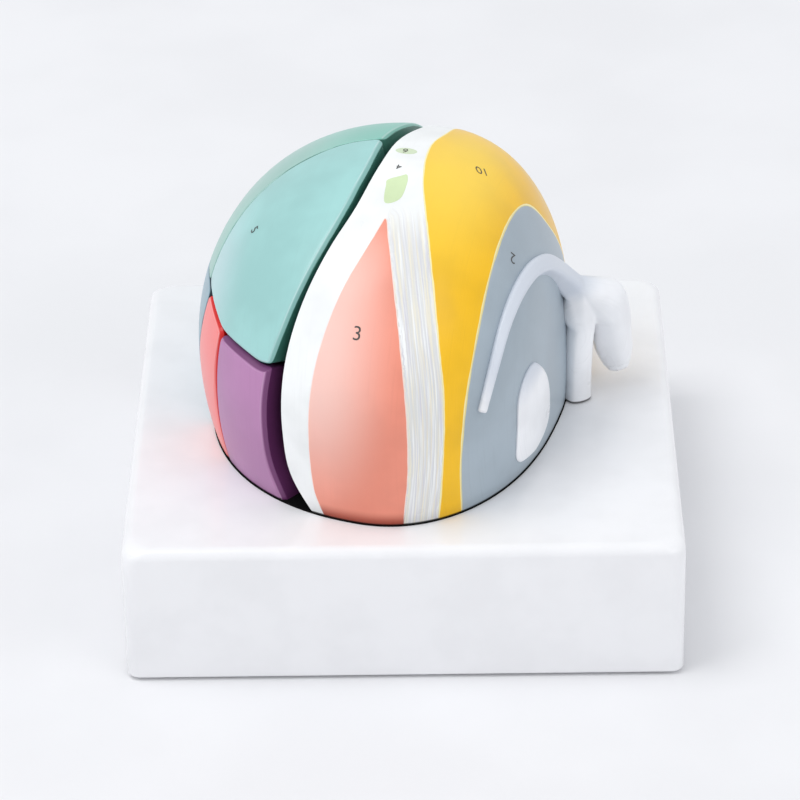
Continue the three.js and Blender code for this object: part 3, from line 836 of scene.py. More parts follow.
def egg_solid(margin: float = 0.0) -> Solid:
    """The whole thalamus, grown by a margin: each direction of a ball, as long as the form reaches.

    Args:
        margin: Millimetres above the surface.

    Returns:
        The body, whose grid has its poles at the two sides.
    """
    x, y, z = np.moveaxis(ball(*EGG_GRID), -1, 0)
    return Solid.welded(EGG.surface(np.stack([z, -x, y], axis=-1), margin))


# Finishes. A map range with this setting eases in and out between its marks
SMOOTH = {"interpolation_type": "SMOOTHSTEP"}


def linear(hex_colour: str) -> Colour:
    """Linear colour of an sRGB hex colour.

    Args:
        hex_colour: Six hex digits.

    Returns:
        Red, green, blue and one.
    """
    parts = [int(hex_colour[k : k + 2], 16) / 255 for k in (0, 2, 4)]
    return (*((c / 12.92 if c <= 0.04045 else ((c + 0.055) / 1.055) ** 2.4) for c in parts), 1.0)


def dimmed(tone: Colour, share: float) -> Colour:
    """A linear colour times a share, at most white."""
    return (*(min(1.0, c * share) for c in tone[:3]), 1.0)


def repeats(size_mm: float) -> float:
    """Scale of a pattern whose features are this many millimetres across."""
    return 1 / (size_mm * METRES)


class Board:
    """A material's nodes while they are laid out."""

    def __init__(self, name: str) -> None:
        """Start a material without nodes.

        Args:
            name: Name of the material.
        """
        self.material = bpy.data.materials.new(name)
        self.material.use_nodes = True
        self.tree = self.material.node_tree
        self.tree.nodes.clear()

    def add(self, kind: str, inputs: Mapping[str | int, Any] | None = None, out: str | int = 0,
            **settings: Any) -> Socket:
        """Add one node with its settings and links.

        Args:
            kind: The node's type, without the words ShaderNode.
            inputs: Sockets to link and values to set, by the input's name or number.
            out: Which output to return.
            settings: Properties of the node.

        Returns:
            The chosen output.
        """
        node = self.tree.nodes.new(f"ShaderNode{kind}")
        for key, value in settings.items():
            setattr(node, key, value)
        for key, value in (inputs or {}).items():
            if isinstance(value, Socket):
                self.tree.links.new(value, node.inputs[key])
            else:
                node.inputs[key].default_value = value
        return node.outputs[out] if node.outputs else node.inputs[0]

    def finished(self, values: Mapping[str, Any]) -> bpy.types.Material:
        """Close the board.

        Args:
            values: Inputs of the Principled shader.

        Returns:
            The material.
        """
        self.add("OutputMaterial", {"Surface": self.add("BsdfPrincipled", values)})
        return self.material


@dataclass(frozen=True)
class Layer:
    """A tone laid over a colour, within an area if there is one.

    Its share goes smoothly from start to end while the value goes from the low to the high mark.
    """

    tone: Colour
    value: Socket
    low: float
    high: float
    start: float = 0.0
    end: float = 1.0
    area: Socket | None = None

    def over(self, board: Board, colour: Socket | Colour) -> Socket:
        """Lay the tone over a colour.

        Args:
            board: Board to add the nodes to.
            colour: The colour below.

        Returns:
            The colour with the layer on it.
        """
        marks = {0: self.value, 1: self.low, 2: self.high, 3: self.start, 4: self.end}
        share = board.add("MapRange", marks, **SMOOTH)
        if self.area is not None:
            share = board.add("Math", {0: share, 1: self.area}, operation="MULTIPLY")
        return board.add("Mix", {0: share, 6: colour, 7: self.tone}, out=2, data_type="RGBA")


@dataclass(frozen=True)
class Coat:
    """A finish of the model, with the record's material slot for it.

    The words in made end the material's name, where the finish's own name doesn't say them.
    """

    made: ClassVar[str] = ""
    slot: str = field(default="", kw_only=True)

    def lay_out(self, board: Board) -> bpy.types.Material:
        """Lay out the nodes of this finish.

        Args:
            board: Board to lay them out on.

        Returns:
            The material.
        """
        raise NotImplementedError


@dataclass(frozen=True)
class PaintedLightPatch:
    """Wide soft patch of painted light, in degrees over the egg: paler is highlight, darker is shade."""

    turn: float
    tilt: float
    inner: float
    outer: float
    tone: str
    share: float
    squash: tuple[float, float, float] = (0.45, 1.0, 0.0)

    def layer(self, board: Board, spot: Socket) -> Layer:
        """The patch's tone of painted light, which fades outwards and reaches twice as far over the front.

        Args:
            board: Board to add the nodes to.
            spot: Turn and tilt of the shaded point.

        Returns:
            The layer.
        """
        aside = board.add("VectorMath", {0: spot, 1: (self.turn, self.tilt, 0.0)}, operation="SUBTRACT")
        flat = board.add("VectorMath", {0: aside, 1: self.squash}, operation="MULTIPLY")
        away = board.add("VectorMath", {0: flat}, out="Value", operation="LENGTH")
        return Layer(linear(self.tone), away, self.inner, self.outer, self.share, 0.0)


@dataclass(frozen=True)
class Streak:
    """Dry-brush streaks of one tint: how often they repeat across the band, and where they start."""

    tint: str
    spread: float
    shift: float


@dataclass(frozen=True)
class Enamel(Coat):
    """Satin enamel, brushed by hand on a cast resin part."""

    made: ClassVar[str] = "_brushed_enamel_on_resin"
    colour: str
    deep: str
    rim: str = ""
    rim_width: float = 0.5
    roughness: float = 0.34
    streaks: float = 0.0
    foot_shade: float = 0.15
    facet: float = 0.22
    patch: PaintedLightPatch | None = None
    pitch_black: str = "0A0A0C"
    stroke_scale: tuple[float, float, float] = (0.035, 1.5, 0.2)
    streak_scale: float = 0.045

    def lay_out(self, board: Board) -> bpy.types.Material:
        """Lay out the nodes.

        Brush strokes run lengthways as faint bands of tone and relief, and paint pools make the tone
        wander over a few centimetres. Painted shade darkens facets and side walls, near black deep in
        the grooves, and a painted highlight runs along the crest of a facet. Painted shade deepens the
        tone at the foot, which ends in a dark line of painted contact shadow. A pale rim is the paint's
        own edge and a dark rim is painted shade along a block's seam, and a wide patch is painted light.

        Args:
            board: Board to lay them out on.

        Returns:
            The material.
        """
        place = board.add("TexCoord", out="Object")
        spot = board.add("Attribute", out="Vector", attribute_name="spot")
        strokes_at = board.add("Mapping", {"Vector": spot, "Scale": self.stroke_scale})
        strokes = board.add("TexNoise", {"Vector": strokes_at, "Scale": 1.0, "Detail": 4.0})
        pools = board.add("TexNoise", {"Vector": place, "Scale": repeats(22.0), "Detail": 3.0})
        grain = board.add("TexNoise", {"Vector": place, "Scale": repeats(0.5), "Detail": 2.0})
        stored = ("seat_mm", "crest_mm", "depth_mm")
        seat, crest, depth = (board.add("Attribute", out="Fac", attribute_name=name) for name in stored)
        tone, deep, black = linear(self.colour), linear(self.deep), linear(self.pitch_black)
        colour = darker = dimmed(tone, 0.93)
        layers = [Layer(dimmed(tone, 1.05), pools, 0.35, 0.65)]
        layers.append(Layer(darker, strokes, 0.52, 0.72, 0.0, 0.35))
        if self.streaks:
            layers.extend(self._streak_layers(board, spot))
        # The patch is painted light: a painted highlight where it is paler, painted shade where it is darker.
        if self.patch:
            layers.append(self.patch.layer(board, spot))
        # A pale rim is the paint's own edge; a dark rim on a block is painted shade along its seam.
        if self.rim:
            layers.append(self._rim_layer(board, place))
        layers += [
            # Painted shade deepens the tone towards the seat, and a black line of painted contact shadow runs
            # along the foot.
            Layer(deep, seat, 0.3, 4.6, self.foot_shade, 0.0),
            Layer(black, seat, 0.2, 0.6, 0.9, 0.0),
            # Painted highlight along the crest of a wide bevel.
            Layer(self._worn(), crest, 0.05, 0.3, 0.55, 0.0),
            # Painted shade: facets, side walls and grooves darken with depth below the surface, to near black
            # deep down.
            Layer(deep, depth, 0.1, 0.5, 0.0, self.facet),
            Layer(deep, depth, 0.8, 1.8),
            Layer(black, depth, 3.0, 10.0, 0.0, 0.92),
        ]
        for layer in layers:
            colour = layer.over(board, colour)
        relief = board.add("Math", {0: strokes, 1: 0.35}, operation="MULTIPLY")
        height = board.add("Math", {0: grain, 1: 0.12, 2: relief}, operation="MULTIPLY_ADD")
        gloss = {0: pools, 1: 0.3, 2: 0.7, 3: self.roughness - 0.04, 4: self.roughness + 0.06}
        return board.finished({
            "Base Color": colour,
            "Roughness": board.add("MapRange", gloss, **SMOOTH),
            "Normal": board.add("Bump", {"Height": height, "Strength": 0.5, "Distance": 0.0002}),
            "Coat Weight": 0.12,
            "Coat Roughness": 0.2,
            "Specular IOR Level": 0.4,
        })

    def _worn(self) -> Colour:
        """Colour of the painted highlight on a crest: the enamel's colour, halfway to white."""
        return linear("".join(f"{(int(self.colour[k : k + 2], 16) + 255) // 2:02X}" for k in (0, 2, 4)))

    def _rim_layer(self, board: Board, place: Socket) -> Layer:
        """The rim, whose width wanders: pale where it is the paint's own edge, dark where it is painted shade
        along a block's seam.

        Args:
            board: Board to add the nodes to.
            place: Place of the shaded point.

        Returns:
            The layer.
        """
        edge = board.add("Attribute", out="Fac", attribute_name="edge_mm")
        unsteady = board.add("TexNoise", {"Vector": place, "Scale": repeats(9.0), "Detail": 3.0})
        wander = board.add("MapRange", {0: unsteady, 1: 0.3, 2: 0.7, 3: 0.8, 4: 1.5}, **SMOOTH)
        along = board.add("Math", {0: edge, 1: wander}, operation="MULTIPLY")
        return Layer(linear(self.rim), along, 0.6 * self.rim_width, self.rim_width, 1.0, 0.0)

    def _streak_layers(self, board: Board, spot: Socket) -> list[Layer]:
        """The dry-brush streaks of grey and yellow between the salmon and the yellow areas.

        Args:
            board: Board to add the nodes to.
            spot: Turn and tilt of the shaded point.

        Returns:
            One layer for each tint.
        """
        turn = board.add("SeparateXYZ", {0: spot}, out="X")
        band = board.add("Attribute", out="Fac", attribute_name="band_share")
        front = board.add("MapRange", {0: turn, 1: 50.0, 2: 66.0, 3: 1.0, 4: 0.0}, **SMOOTH)
        inner = board.add("MapRange", {0: band, 1: -0.04, 2: -0.02}, **SMOOTH)
        area = board.add("Math", {0: front, 1: inner}, operation="MULTIPLY")
        along = board.add("CombineXYZ", {0: turn, 1: band})
        layers = []
        for streak in (Streak("CFCDD6", 15.0, 0.0), Streak("ECE5CF", 9.0, 5.0), Streak("D9DBDC", 24.0, 9.0)):
            shift, scale = (streak.shift, streak.shift, 0.0), (self.streak_scale, streak.spread, 0.0)
            place = board.add("Mapping", {"Vector": along, "Location": shift, "Scale": scale})
            lines = board.add("TexNoise", {"Vector": place, "Scale": 1.0, "Detail": 2.0})
            layers.append(Layer(linear(streak.tint), lines, 0.42, 0.62, 0.0, self.streaks, area))
        return layers


@dataclass(frozen=True)
class MouldedPlastic(Coat):
    """Injection-moulded plastic, in one colour and with the polish or the grain of its mould."""

    colour: str
    roughness: float
    grain: float

    def lay_out(self, board: Board) -> bpy.types.Material:
        """Lay out the nodes.

        The mould's polish leaves a gloss that varies slowly over centimetres, long shallow sink marks
        bend the reflections a little, and a fine grain takes the edge off the highlights.

        Args:
            board: Board to lay them out on.

        Returns:
            The material.
        """
        place = board.add("TexCoord", out="Object")
        sink = board.add("TexNoise", {"Vector": place, "Scale": repeats(60.0), "Detail": 1.0})
        haze = board.add("TexNoise", {"Vector": place, "Scale": repeats(14.0), "Detail": 3.0})
        fine = board.add("TexNoise", {"Vector": place, "Scale": repeats(0.7), "Detail": 2.0})
        height = board.add("Math", {0: fine, 1: 0.08 * self.grain, 2: sink}, operation="MULTIPLY_ADD")
        tone = linear(self.colour)
        gloss = {0: haze, 1: 0.3, 2: 0.7, 3: self.roughness * 0.85, 4: self.roughness * 1.2}
        return board.finished({
            "Base Color": Layer(dimmed(tone, 0.965), haze, 0.35, 0.7).over(board, tone),
            "Roughness": board.add("MapRange", gloss, **SMOOTH),
            "Normal": board.add("Bump", {"Height": height, "Strength": 0.35, "Distance": 0.0004}),
            "Specular IOR Level": 0.5,
        })


@dataclass(frozen=True)
class MouldedRubber(Coat):
    """Black moulded rubber."""

    def lay_out(self, board: Board) -> bpy.types.Material:
        """Lay out the nodes: dull and slightly dusty, with the pitted skin that a mould leaves.

        Args:
            board: Board to lay them out on.

        Returns:
            The material.
        """
        place = board.add("TexCoord", out="Object")
        pits = board.add("TexNoise", {"Vector": place, "Scale": repeats(0.6), "Detail": 4.0})
        dust = board.add("TexNoise", {"Vector": place, "Scale": repeats(5.0), "Detail": 3.0})
        return board.finished({
            "Base Color": Layer(linear("3B3A38"), dust, 0.4, 0.75).over(board, linear("242426")),
            "Roughness": board.add("MapRange", {0: dust, 1: 0.3, 2: 0.7, 3: 0.7, 4: 0.95}, **SMOOTH),
            "Normal": board.add("Bump", {"Height": pits, "Strength": 0.6, "Distance": 0.0002}),
        })


@dataclass(frozen=True)
class ShadowFelt(Coat):
    """Black matt sheet that stands for the contact shadow under the thalamus."""

    def lay_out(self, board: Board) -> bpy.types.Material:
        """Lay out the nodes: matt and fibrous, with a little pale fuzz that catches the light.

        Args:
            board: Board to lay them out on.

        Returns:
            The material.
        """
        place = board.add("TexCoord", out="Object")
        matted = {"Vector": place, "Scale": repeats(0.4), "Detail": 5.0, "Roughness": 0.7}
        fibre = board.add("TexNoise", matted)
        return board.finished({
            "Base Color": Layer(linear("1C1B1B"), fibre, 0.45, 0.8).over(board, linear("0B0B0C")),
            "Roughness": board.add("MapRange", {0: fibre, 1: 0.3, 2: 0.7, 3: 0.9, 4: 1.0}, **SMOOTH),
            "Specular IOR Level": 0.1,
            "Normal": board.add("Bump", {"Height": fibre, "Strength": 0.7, "Distance": 0.0002}),
        })


@dataclass(frozen=True)
class TurnedSteel(Coat):
    """Bright steel turned on a lathe."""

    def lay_out(self, board: Board) -> bpy.types.Material:
        """Lay out the nodes: fine rings round the axis, with a soft change of gloss.

        Args:
            board: Board to lay them out on.

        Returns:
            The material.
        """
        place = board.add("TexCoord", out="Object")
        lathe = board.add("Mapping", {"Vector": place, "Scale": (0.3, 0.3, 6.0)})
        rings = board.add("TexNoise", {"Vector": lathe, "Scale": repeats(1.2), "Detail": 4.0})
        smear = board.add("TexNoise", {"Vector": place, "Scale": repeats(6.0), "Detail": 3.0})
        tones = {0: smear, 6: linear("B4B8BD"), 7: linear("CBCED2")}
        return board.finished({
            "Base Color": board.add("Mix", tones, out=2, data_type="RGBA"),
            "Metallic": 1.0,
            "Roughness": board.add("MapRange", {0: rings, 1: 0.3, 2: 0.7, 3: 0.2, 4: 0.38}, **SMOOTH),
            "Normal": board.add("Bump", {"Height": rings, "Strength": 0.3, "Distance": 0.00005}),
        })


@dataclass(frozen=True)
class BackgroundPaper(Coat):
    """Wide sheet of matt white background paper."""

    def lay_out(self, board: Board) -> bpy.types.Material:
        """Lay out the nodes: nearly even white with a faint fibre.

        Args:
            board: Board to lay them out on.

        Returns:
            The material.
        """
        place = board.add("TexCoord", out="Object")
        fibre = board.add("TexNoise", {"Vector": place, "Scale": repeats(1.5), "Detail": 5.0})
        cloud = board.add("TexNoise", {"Vector": place, "Scale": repeats(90.0), "Detail": 3.0})
        return board.finished({
            "Base Color": Layer(linear("EDEDEF"), cloud, 0.35, 0.65).over(board, linear("E9E9EB")),
            "Roughness": board.add("MapRange", {0: fibre, 1: 0.3, 2: 0.7, 3: 0.75, 4: 0.95}, **SMOOTH),
            "Normal": board.add("Bump", {"Height": fibre, "Strength": 0.1, "Distance": 0.0002}),
        })


class Finish(Enum):
    """The finishes of the model. A material is named for its finish and how it was made."""

    LAMINA_WHITE = Enamel("F4F6F6", "17181A", roughness=0.3, streaks=0.8, foot_shade=0.1, slot="lamina_white")
    # The ridge's patch is painted shade on its rear end and its facet.
    RIDGE_WHITE = Enamel("F4F5F8", "B9BEC8", roughness=0.3, foot_shade=0.0, slot="lamina_white",
                         patch=PaintedLightPatch(80.0, 46.0, 27.0, 36.0, "D2D8E2", 1.0))
    # Turquoise: the front block's pale patch is a painted highlight, the rear block's dark patch is painted
    # shade on its tip, and the dark rims are painted shade along the seams.
    TURQUOISE = Enamel("9FD0CD", "4B8C7D", rim="3F786B", rim_width=0.4, facet=0.35, slot="turquoise",
                       patch=PaintedLightPatch(42.0, -53.0, 3.0, 20.0, "C8DFE5", 0.55))
    PALE_TURQUOISE = Enamel("9CC8BE", "4B8474", rim="3F786B", rim_width=0.4, facet=0.35, slot="turquoise",
                            patch=PaintedLightPatch(104.0, -8.0, 6.0, 26.0, "7FC2B3", 0.85))
    # The dark rims of the purple and blue-grey blocks are painted shade along their seams, and the purple and
    # red facets take strong painted shade.
    PURPLE = Enamel("B680AE", "74396E", rim="5E2C58", rim_width=0.4, facet=0.95, slot="purple")
    RED = Enamel("FF8886", "DC1610", facet=1.0, slot="red")
    BLUE_GREY = Enamel("93AFBC", "39464F", rim="4A5964", rim_width=0.4, slot="blue_grey")
    # The salmon's patch is a painted highlight and its strong foot shade is painted shade; the yellow's patch
    # is a painted highlight.
    SALMON = Enamel("F0937C", "963015", rim="FBE6DD", rim_width=0.35, foot_shade=0.9, slot="salmon",
                    patch=PaintedLightPatch(24.0, -9.0, 2.0, 21.0, "FFDDD4", 0.75))
    YELLOW = Enamel("F6BF00", "A87A10", rim="FBF0B4", rim_width=0.5, slot="yellow",
                    patch=PaintedLightPatch(86.0, 12.0, 3.0, 24.0, "FFE060", 0.6))
    GREY = Enamel("A5B2BC", "4A535A", rim="E9D890", rim_width=0.35, slot="grey")
    OVAL_GREEN = Enamel("D3E2C2", "7F9A62", rim="E6F0D0", rim_width=0.5)
    LEAF_GREEN = Enamel("D3E6B8", "7F9A62", rim="E9F2D4", rim_width=0.5)
    INK = Enamel("4C4A48", "202222", roughness=0.5)
    WHITE_GLOSS_MOULDED_ABS = MouldedPlastic("F3F3F5", 0.22, 0.3, slot="base_white")
    GREY_TEXTURED_MOULDED_ABS = MouldedPlastic("CFD1D5", 0.5, 1.0, slot="plate_grey")
    BLACK_MOULDED_RUBBER = MouldedRubber(slot="foot_rubber")
    BLACK_WOOL_FELT = ShadowFelt()
    BRIGHT_TURNED_STEEL = TurnedSteel(slot="bright_steel")
    MATT_WHITE_BACKGROUND_PAPER = BackgroundPaper()

    def material(self) -> bpy.types.Material:
        """The finish's material, laid out when it is first wanted."""
        name = self.name.lower() + self.value.made
        return bpy.data.materials.get(name) or self.value.lay_out(Board(name))


@dataclass
class Piece:
    """One dressed piece of the model, and the CAD body that it rides on."""

    name: str
    solid: Solid
    finish: Finish
    body: str
    replaces: Sequence[str] = ()
    setting: Setting = ON_BASE
    zone: Zone | None = None
    crease: float = 32.0
    marks: Marks = field(default_factory=dict)

    def show(self) -> None:
        """Put the piece in the frame, smooth but for edges that are sharper than the crease angle."""
        mesh = self.solid.mesh
        mesh.name = self.name
        points = self.solid.points()
        if self.setting is ON_BASE:
            self._mark(points)
        self.solid.moved(self.setting.placed(points))
        mesh.materials.clear()
        mesh.materials.append(self.finish.material())
        mesh.polygons.foreach_set("material_index", np.zeros(len(mesh.polygons), dtype=np.int32))
        mesh.polygons.foreach_set("use_smooth", np.ones(len(mesh.polygons), dtype=bool))
        mesh.set_sharp_from_angle(angle=math.radians(self.crease))
        mesh.update()
        piece = linked(self.name, mesh)
        if self.replaces:
            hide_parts(*self.replaces)
        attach(piece, self.body)
        LOG.info("%s: %d faces on %s", self.name, len(mesh.polygons), self.body)

    def _mark(self, points: Array) -> None:
        """Store what the enamel needs at each vertex.

        That is its place, its depth, its distance to the rim and to the crest of a wide bevel, and its
        height above the seat. Where there is no rim or crest, the distance is large.

        Args:
            points: Places of the vertices in the thalamus's own frame.
        """
        mesh, directions = self.solid.mesh, unit(points)
        tilt = np.degrees(np.arcsin(np.clip(directions[:, 0], -1, 1)))
        turn = (np.degrees(np.arctan2(directions[:, 2], -directions[:, 1])) + 90) % 360 - 90
        depth = EGG.depth(points)
        far = np.full(len(points), 99.0)
        away, bevel = self.zone.from_rim(directions, 0.0) if self.zone else (far, far)
        crest = np.where(self.zone and (bevel > 0.5), np.abs(away - bevel), far)
        spot = mesh.attributes.new("spot", "FLOAT_VECTOR", "POINT")
        spot.data.foreach_set("vector", np.column_stack([turn, tilt, depth]).ravel())
        values = {"depth_mm": depth, "edge_mm": away, "crest_mm": crest, "seat_mm": points[:, 2] - STAND.seat}
        values |= {name: worked_out(directions) for name, worked_out in self.marks.items()}
        for name, column in values.items():
            mesh.attributes.new(name, "FLOAT", "POINT").data.foreach_set("value", column)


# Corners where three zones meet
REAR_TOP = over(129, -8)
REAR_OUTER = around(-113, 23)
FRONT_OUTER = around(-62.5, 23)
LAMINA_TOP = over(94, -10.8)
ARC_MIDDLE = over(87.5, -28.8)
RIM_OUTER = over(37.5, -52)
RIM_MIDDLE = over(24, -41)
RIM_INNER = over(18.5, -21.5)

# Seams of the outer group
DORSAL_ARC = seam(FRONT_OUTER, (58, -51.3), (70.6, -45.8), (81, -37.5), ARC_MIDDLE)
DORSAL_ARC_TOP = seam(ARC_MIDDLE, (92, -20.5), LAMINA_TOP)
LATERAL_EDGE = seam(RIM_INNER, (30, -18), (48, -13), (62, -10.3), (78, -9.8), LAMINA_TOP)
LATERAL_EDGE_REAR = seam(LAMINA_TOP, (112, -9), REAR_TOP)
VENTRAL_EDGE = seam(low(-14), (-20, -18.3), (-8, -22.9), (6, -23.4), RIM_INNER)
RIM_FRONT = seam(RIM_MIDDLE, (20, -30.5), (18.2, -25), RIM_INNER)
RIM_OUTWARDS = seam(RIM_OUTER, (29.5, -46), RIM_MIDDLE)
RIM_REARWARDS = seam(FRONT_OUTER, RIM_OUTER)
DORSAL_REAR = seam(FRONT_OUTER, around(-80, 22), around(-98, 23), REAR_OUTER)
FRONT_SEAM = seam(low(-45), (-20, -42.8), (-8, -44.3), (8, -43.5), RIM_MIDDLE)
MIDDLE_SEAM = seam(low(-67), around(-64.5, -12), around(-62, 3), around(-59, 14), RIM_OUTER)
REAR_SEAM = seam(low(-122), around(-121, -12), around(-118, 8), REAR_OUTER)
PULVINAR_FRONT = seam(REAR_OUTER, (126, -42), (126, -25), REAR_TOP)
PULVINAR_INNER = seam(
    low(151), around(155, -8), around(158, 10), around(160, 25), (137, 4), REAR_TOP
)
SKIRT_FRONT = seam(low(-45), low(-30), low(-14))
SKIRT_MIDDLE = seam(low(-67), low(-45))
SKIRT_OUTER = seam(low(-122), low(-94), low(-67))
SKIRT_REAR = seam(low(-209), low(-180), low(-150), low(-122))

# Seams of the white lamina and of the inner group
LAMINA_OUTER = seam(
    low(0), (-20, -10), (-9, -16.6), (3, -18.1), (18, -17.7), (34, -15.1), (49, -11.4), (62, -8.2),
    (78, -7.4), (93, -7), (109, -4), (126, -3.2), (137, 8), around(157, 26), around(155, 10),
    around(152, -8), low(148),
)
ANTERIOR_TIP = seam((59.2, -0.1), (58.8, 0.7))
ANTERIOR_OUTER = seam(
    low(-3), (-21, -6.6), (-11, -10), (5, -10.7), (20, -9.5), (37.5, -5.9), (51, -1.9), (59.2, -0.1)
)
ANTERIOR_INNER = seam(low(10), (-20, 10.9), (-2, 13.2), (16, 12.2), (36, 8), (58.8, 0.7))
MEDIODORSAL_OUTER = seam(
    low(19), (-21, 18.8), (2, 21.5), (17, 20.9), (31, 18.2), (53, 12.3), (74, 5.5), (91, 2.3),
    (105, 3.2), (120, 3.4), (136, 13), around(149, 28), around(148, 15), around(146, 0), low(142),
)
MIDLINE_OUTER = seam(
    low(27), (-22, 24.9), (-4, 26.2), (18, 27.6), (44, 29.3), (66, 30.4), (86, 31.6), (101, 34.3),
    (115, 42), (132, 46), around(128, 19), around(127, -5), low(125),
)


def band_share(directions: Array) -> Array:
    """Place across the white band between the salmon and the yellow areas.

    It is the distance to the salmon's edge over the sum of the distances to both edges, so that it
    keeps one value along a brush stroke. Beyond the salmon's edge and over the rear it is negative.

    Args:
        directions: Unit vectors, one in each row.

    Returns:
        Shares, one for each direction.
    """
    near = directions @ ANTERIOR_INNER.T
    inner = np.arccos(np.clip(near.max(axis=1), -1, 1))
    outer = np.arccos(np.clip((directions @ MEDIODORSAL_OUTER.T).max(axis=1), -1, 1))
    beyond = (directions[:, 0] < ANTERIOR_INNER[near.argmax(axis=1), 0] - 0.005) | (directions[:, 1] > 0)
    return np.where(beyond, -1, 1) * inner / (inner + outer)


@dataclass(frozen=True)
class BaseBox:
    """The white moulded box: shell, closing plate, screws, feet and locating dowels."""

    body: str = "base"
    width: float = 150.0
    corner: float = 10.0
    foot_corner: float = 3.5
    least_corner: float = 0.5
    corner_droop: float = 7.0
    corner_points: int = 18
    top_fillet: float = 3.0
    foot_fillet: float = 0.8
    wall: float = 3.0
    hollow_fillet: float = 1.0
    top_thickness: float = 4.0
    plate_thickness: float = 3.0
    foot_radius: float = 7.0
    foot_thickness: float = 2.4
    foot_inset: float = 26.0
    screw_inset: float = 13.0
    shank_radius: float = 1.5
    screw_length: float = 10.0
    head_radius: float = 3.0
    head_height: float = 1.8
    thread_pitch: float = 0.8
    recess: tuple[float, float] = (1.6, 0.35)
    screw_boss_radius: float = 5.0
    dowel_boss_radius: float = 8.0
    dowel_boss_floor: float = 2.5
    dowel_chamfer: float = 0.6
    softening: float = 0.3

    @property
    def plate_top(self) -> float:
        """Height of the plate's upper face."""
        return STAND.foot_proud + self.plate_thickness

    @property
    def dowel_bottom(self) -> float:
        """Height of the dowels' lower ends."""
        return STAND.top - STAND.dowel_sink

    def drooping_corner(self, height: float) -> float:
        """Radius of the outline's corners, which open out in a quarter ellipse up to the top."""
        share = max(0.0, 1 - (STAND.top - height) / self.corner_droop)
        return self.foot_corner + (self.corner - self.foot_corner) * (1 - math.sqrt(1 - share**2))

    def ring(self, inset: float, height: float, droops: bool = False) -> Array:
        """Rounded outline of the box: a quarter circle about a point inside each corner.

        Args:
            inset: Distance inside the box's outline.
            height: Height of the ring.
            droops: Whether the corners open out towards the top.

        Returns:
            Points round the outline.
        """
        corner = self.drooping_corner(height) if droops else self.foot_corner
        radius = max(corner - inset, self.least_corner)
        quarter = np.linspace(0, np.pi / 2, self.corner_points)
        angles = np.concatenate([quarter + k * np.pi / 2 for k in range(4)])
        signs = np.repeat([[1, 1], [-1, 1], [-1, -1], [1, -1]], self.corner_points, axis=0)
        middles = signs * (self.width / 2 - inset - radius)
        flat = middles + radius * np.column_stack([np.cos(angles), np.sin(angles)])
        return np.column_stack([flat, np.full(len(angles), height)])

    def places(self, inset: float) -> list[tuple[float, float, float]]:
        """Four places at an inset from the box's sides."""
        reach = self.width / 2 - inset
        return [(-reach, -reach, 0.0), (reach, -reach, 0.0), (reach, reach, 0.0), (-reach, reach, 0.0)]

    def shell(self) -> Solid:
        """The hollow shell with its screw bosses and dowel bosses.

        Returns:
            The shell.
        """
        top, bottom, ceiling = STAND.top, STAND.foot_proud, STAND.top - self.top_thickness
        fillet, bead = self.top_fillet, self.foot_fillet
        rings = [
            self.ring(bead * (1 - math.sin(a)), bottom + bead * (1 - math.cos(a)))
            for a in np.radians([0, 30, 60, 90])
        ]
        rings += [self.ring(0, z, True) for z in np.linspace(top - self.corner_droop, top - fillet, 7)[:-1]]
        rings += [
            self.ring(fillet * (1 - math.cos(a)), top - fillet * (1 - math.sin(a)), True)
            for a in np.linspace(0, np.pi / 2, 17)
        ]
        rings.append(self.ring(fillet + 1.0, top, True))
        soft = self.hollow_fillet
        cavity = lofted([
            self.ring(self.wall, bottom - 1), self.ring(self.wall, ceiling - soft),
            self.ring(self.wall + 0.3 * soft, ceiling - 0.3 * soft), self.ring(self.wall + soft, ceiling),
        ])
        shell = lofted(rings).cut(cavity)
        boss_top = top - self.top_thickness / 2
        pilot_top = bottom + self.head_height + self.screw_length + 2 * STAND.join_gap
        for foot in self.places(self.screw_inset):
            boss = rod(self.screw_boss_radius, self.plate_top + STAND.join_gap, boss_top, foot)
            shell = shell.fused(boss).cut(rod(self.shank_radius + STAND.peg_fit, 0, pilot_top, foot))
        bore, bore_bottom = STAND.dowel_radius + STAND.peg_fit, self.dowel_bottom - STAND.join_gap
        lead = 0.4
        profile = [(bore, bore_bottom), (bore, top - lead), (bore + lead, top), (bore + lead, top + 1)]
        for foot in STAND.dowels().values():
            boss = rod(self.dowel_boss_radius, bore_bottom - self.dowel_boss_floor, boss_top, foot)
            shell = shell.fused(boss).cut(turned(profile, foot))
        return shell

    def plate(self) -> Solid:
        """The closing plate, with countersunk holes for the screws and pockets for the feet.

        Returns:
            The plate.
        """
        rim, bottom, soft = self.wall + STAND.join_gap, STAND.foot_proud, self.softening
        plate = lofted([
            self.ring(rim + soft, bottom), self.ring(rim, bottom + soft),
            self.ring(rim, self.plate_top - soft), self.ring(rim + soft, self.plate_top),
        ])
        head_top = bottom + self.head_height + STAND.join_gap
        for foot in self.places(self.screw_inset):
            hole = rod(self.shank_radius + STAND.slide_fit, 0, STAND.top, foot)
            plate = plate.cut(hole, rod(self.head_radius + STAND.slide_fit, 0, head_top, foot))
        pocket_top = self.foot_thickness + STAND.join_gap
        radius = self.foot_radius + STAND.slide_fit
        return plate.cut(*(rod(radius, 0, pocket_top, foot) for foot in self.places(self.foot_inset)))

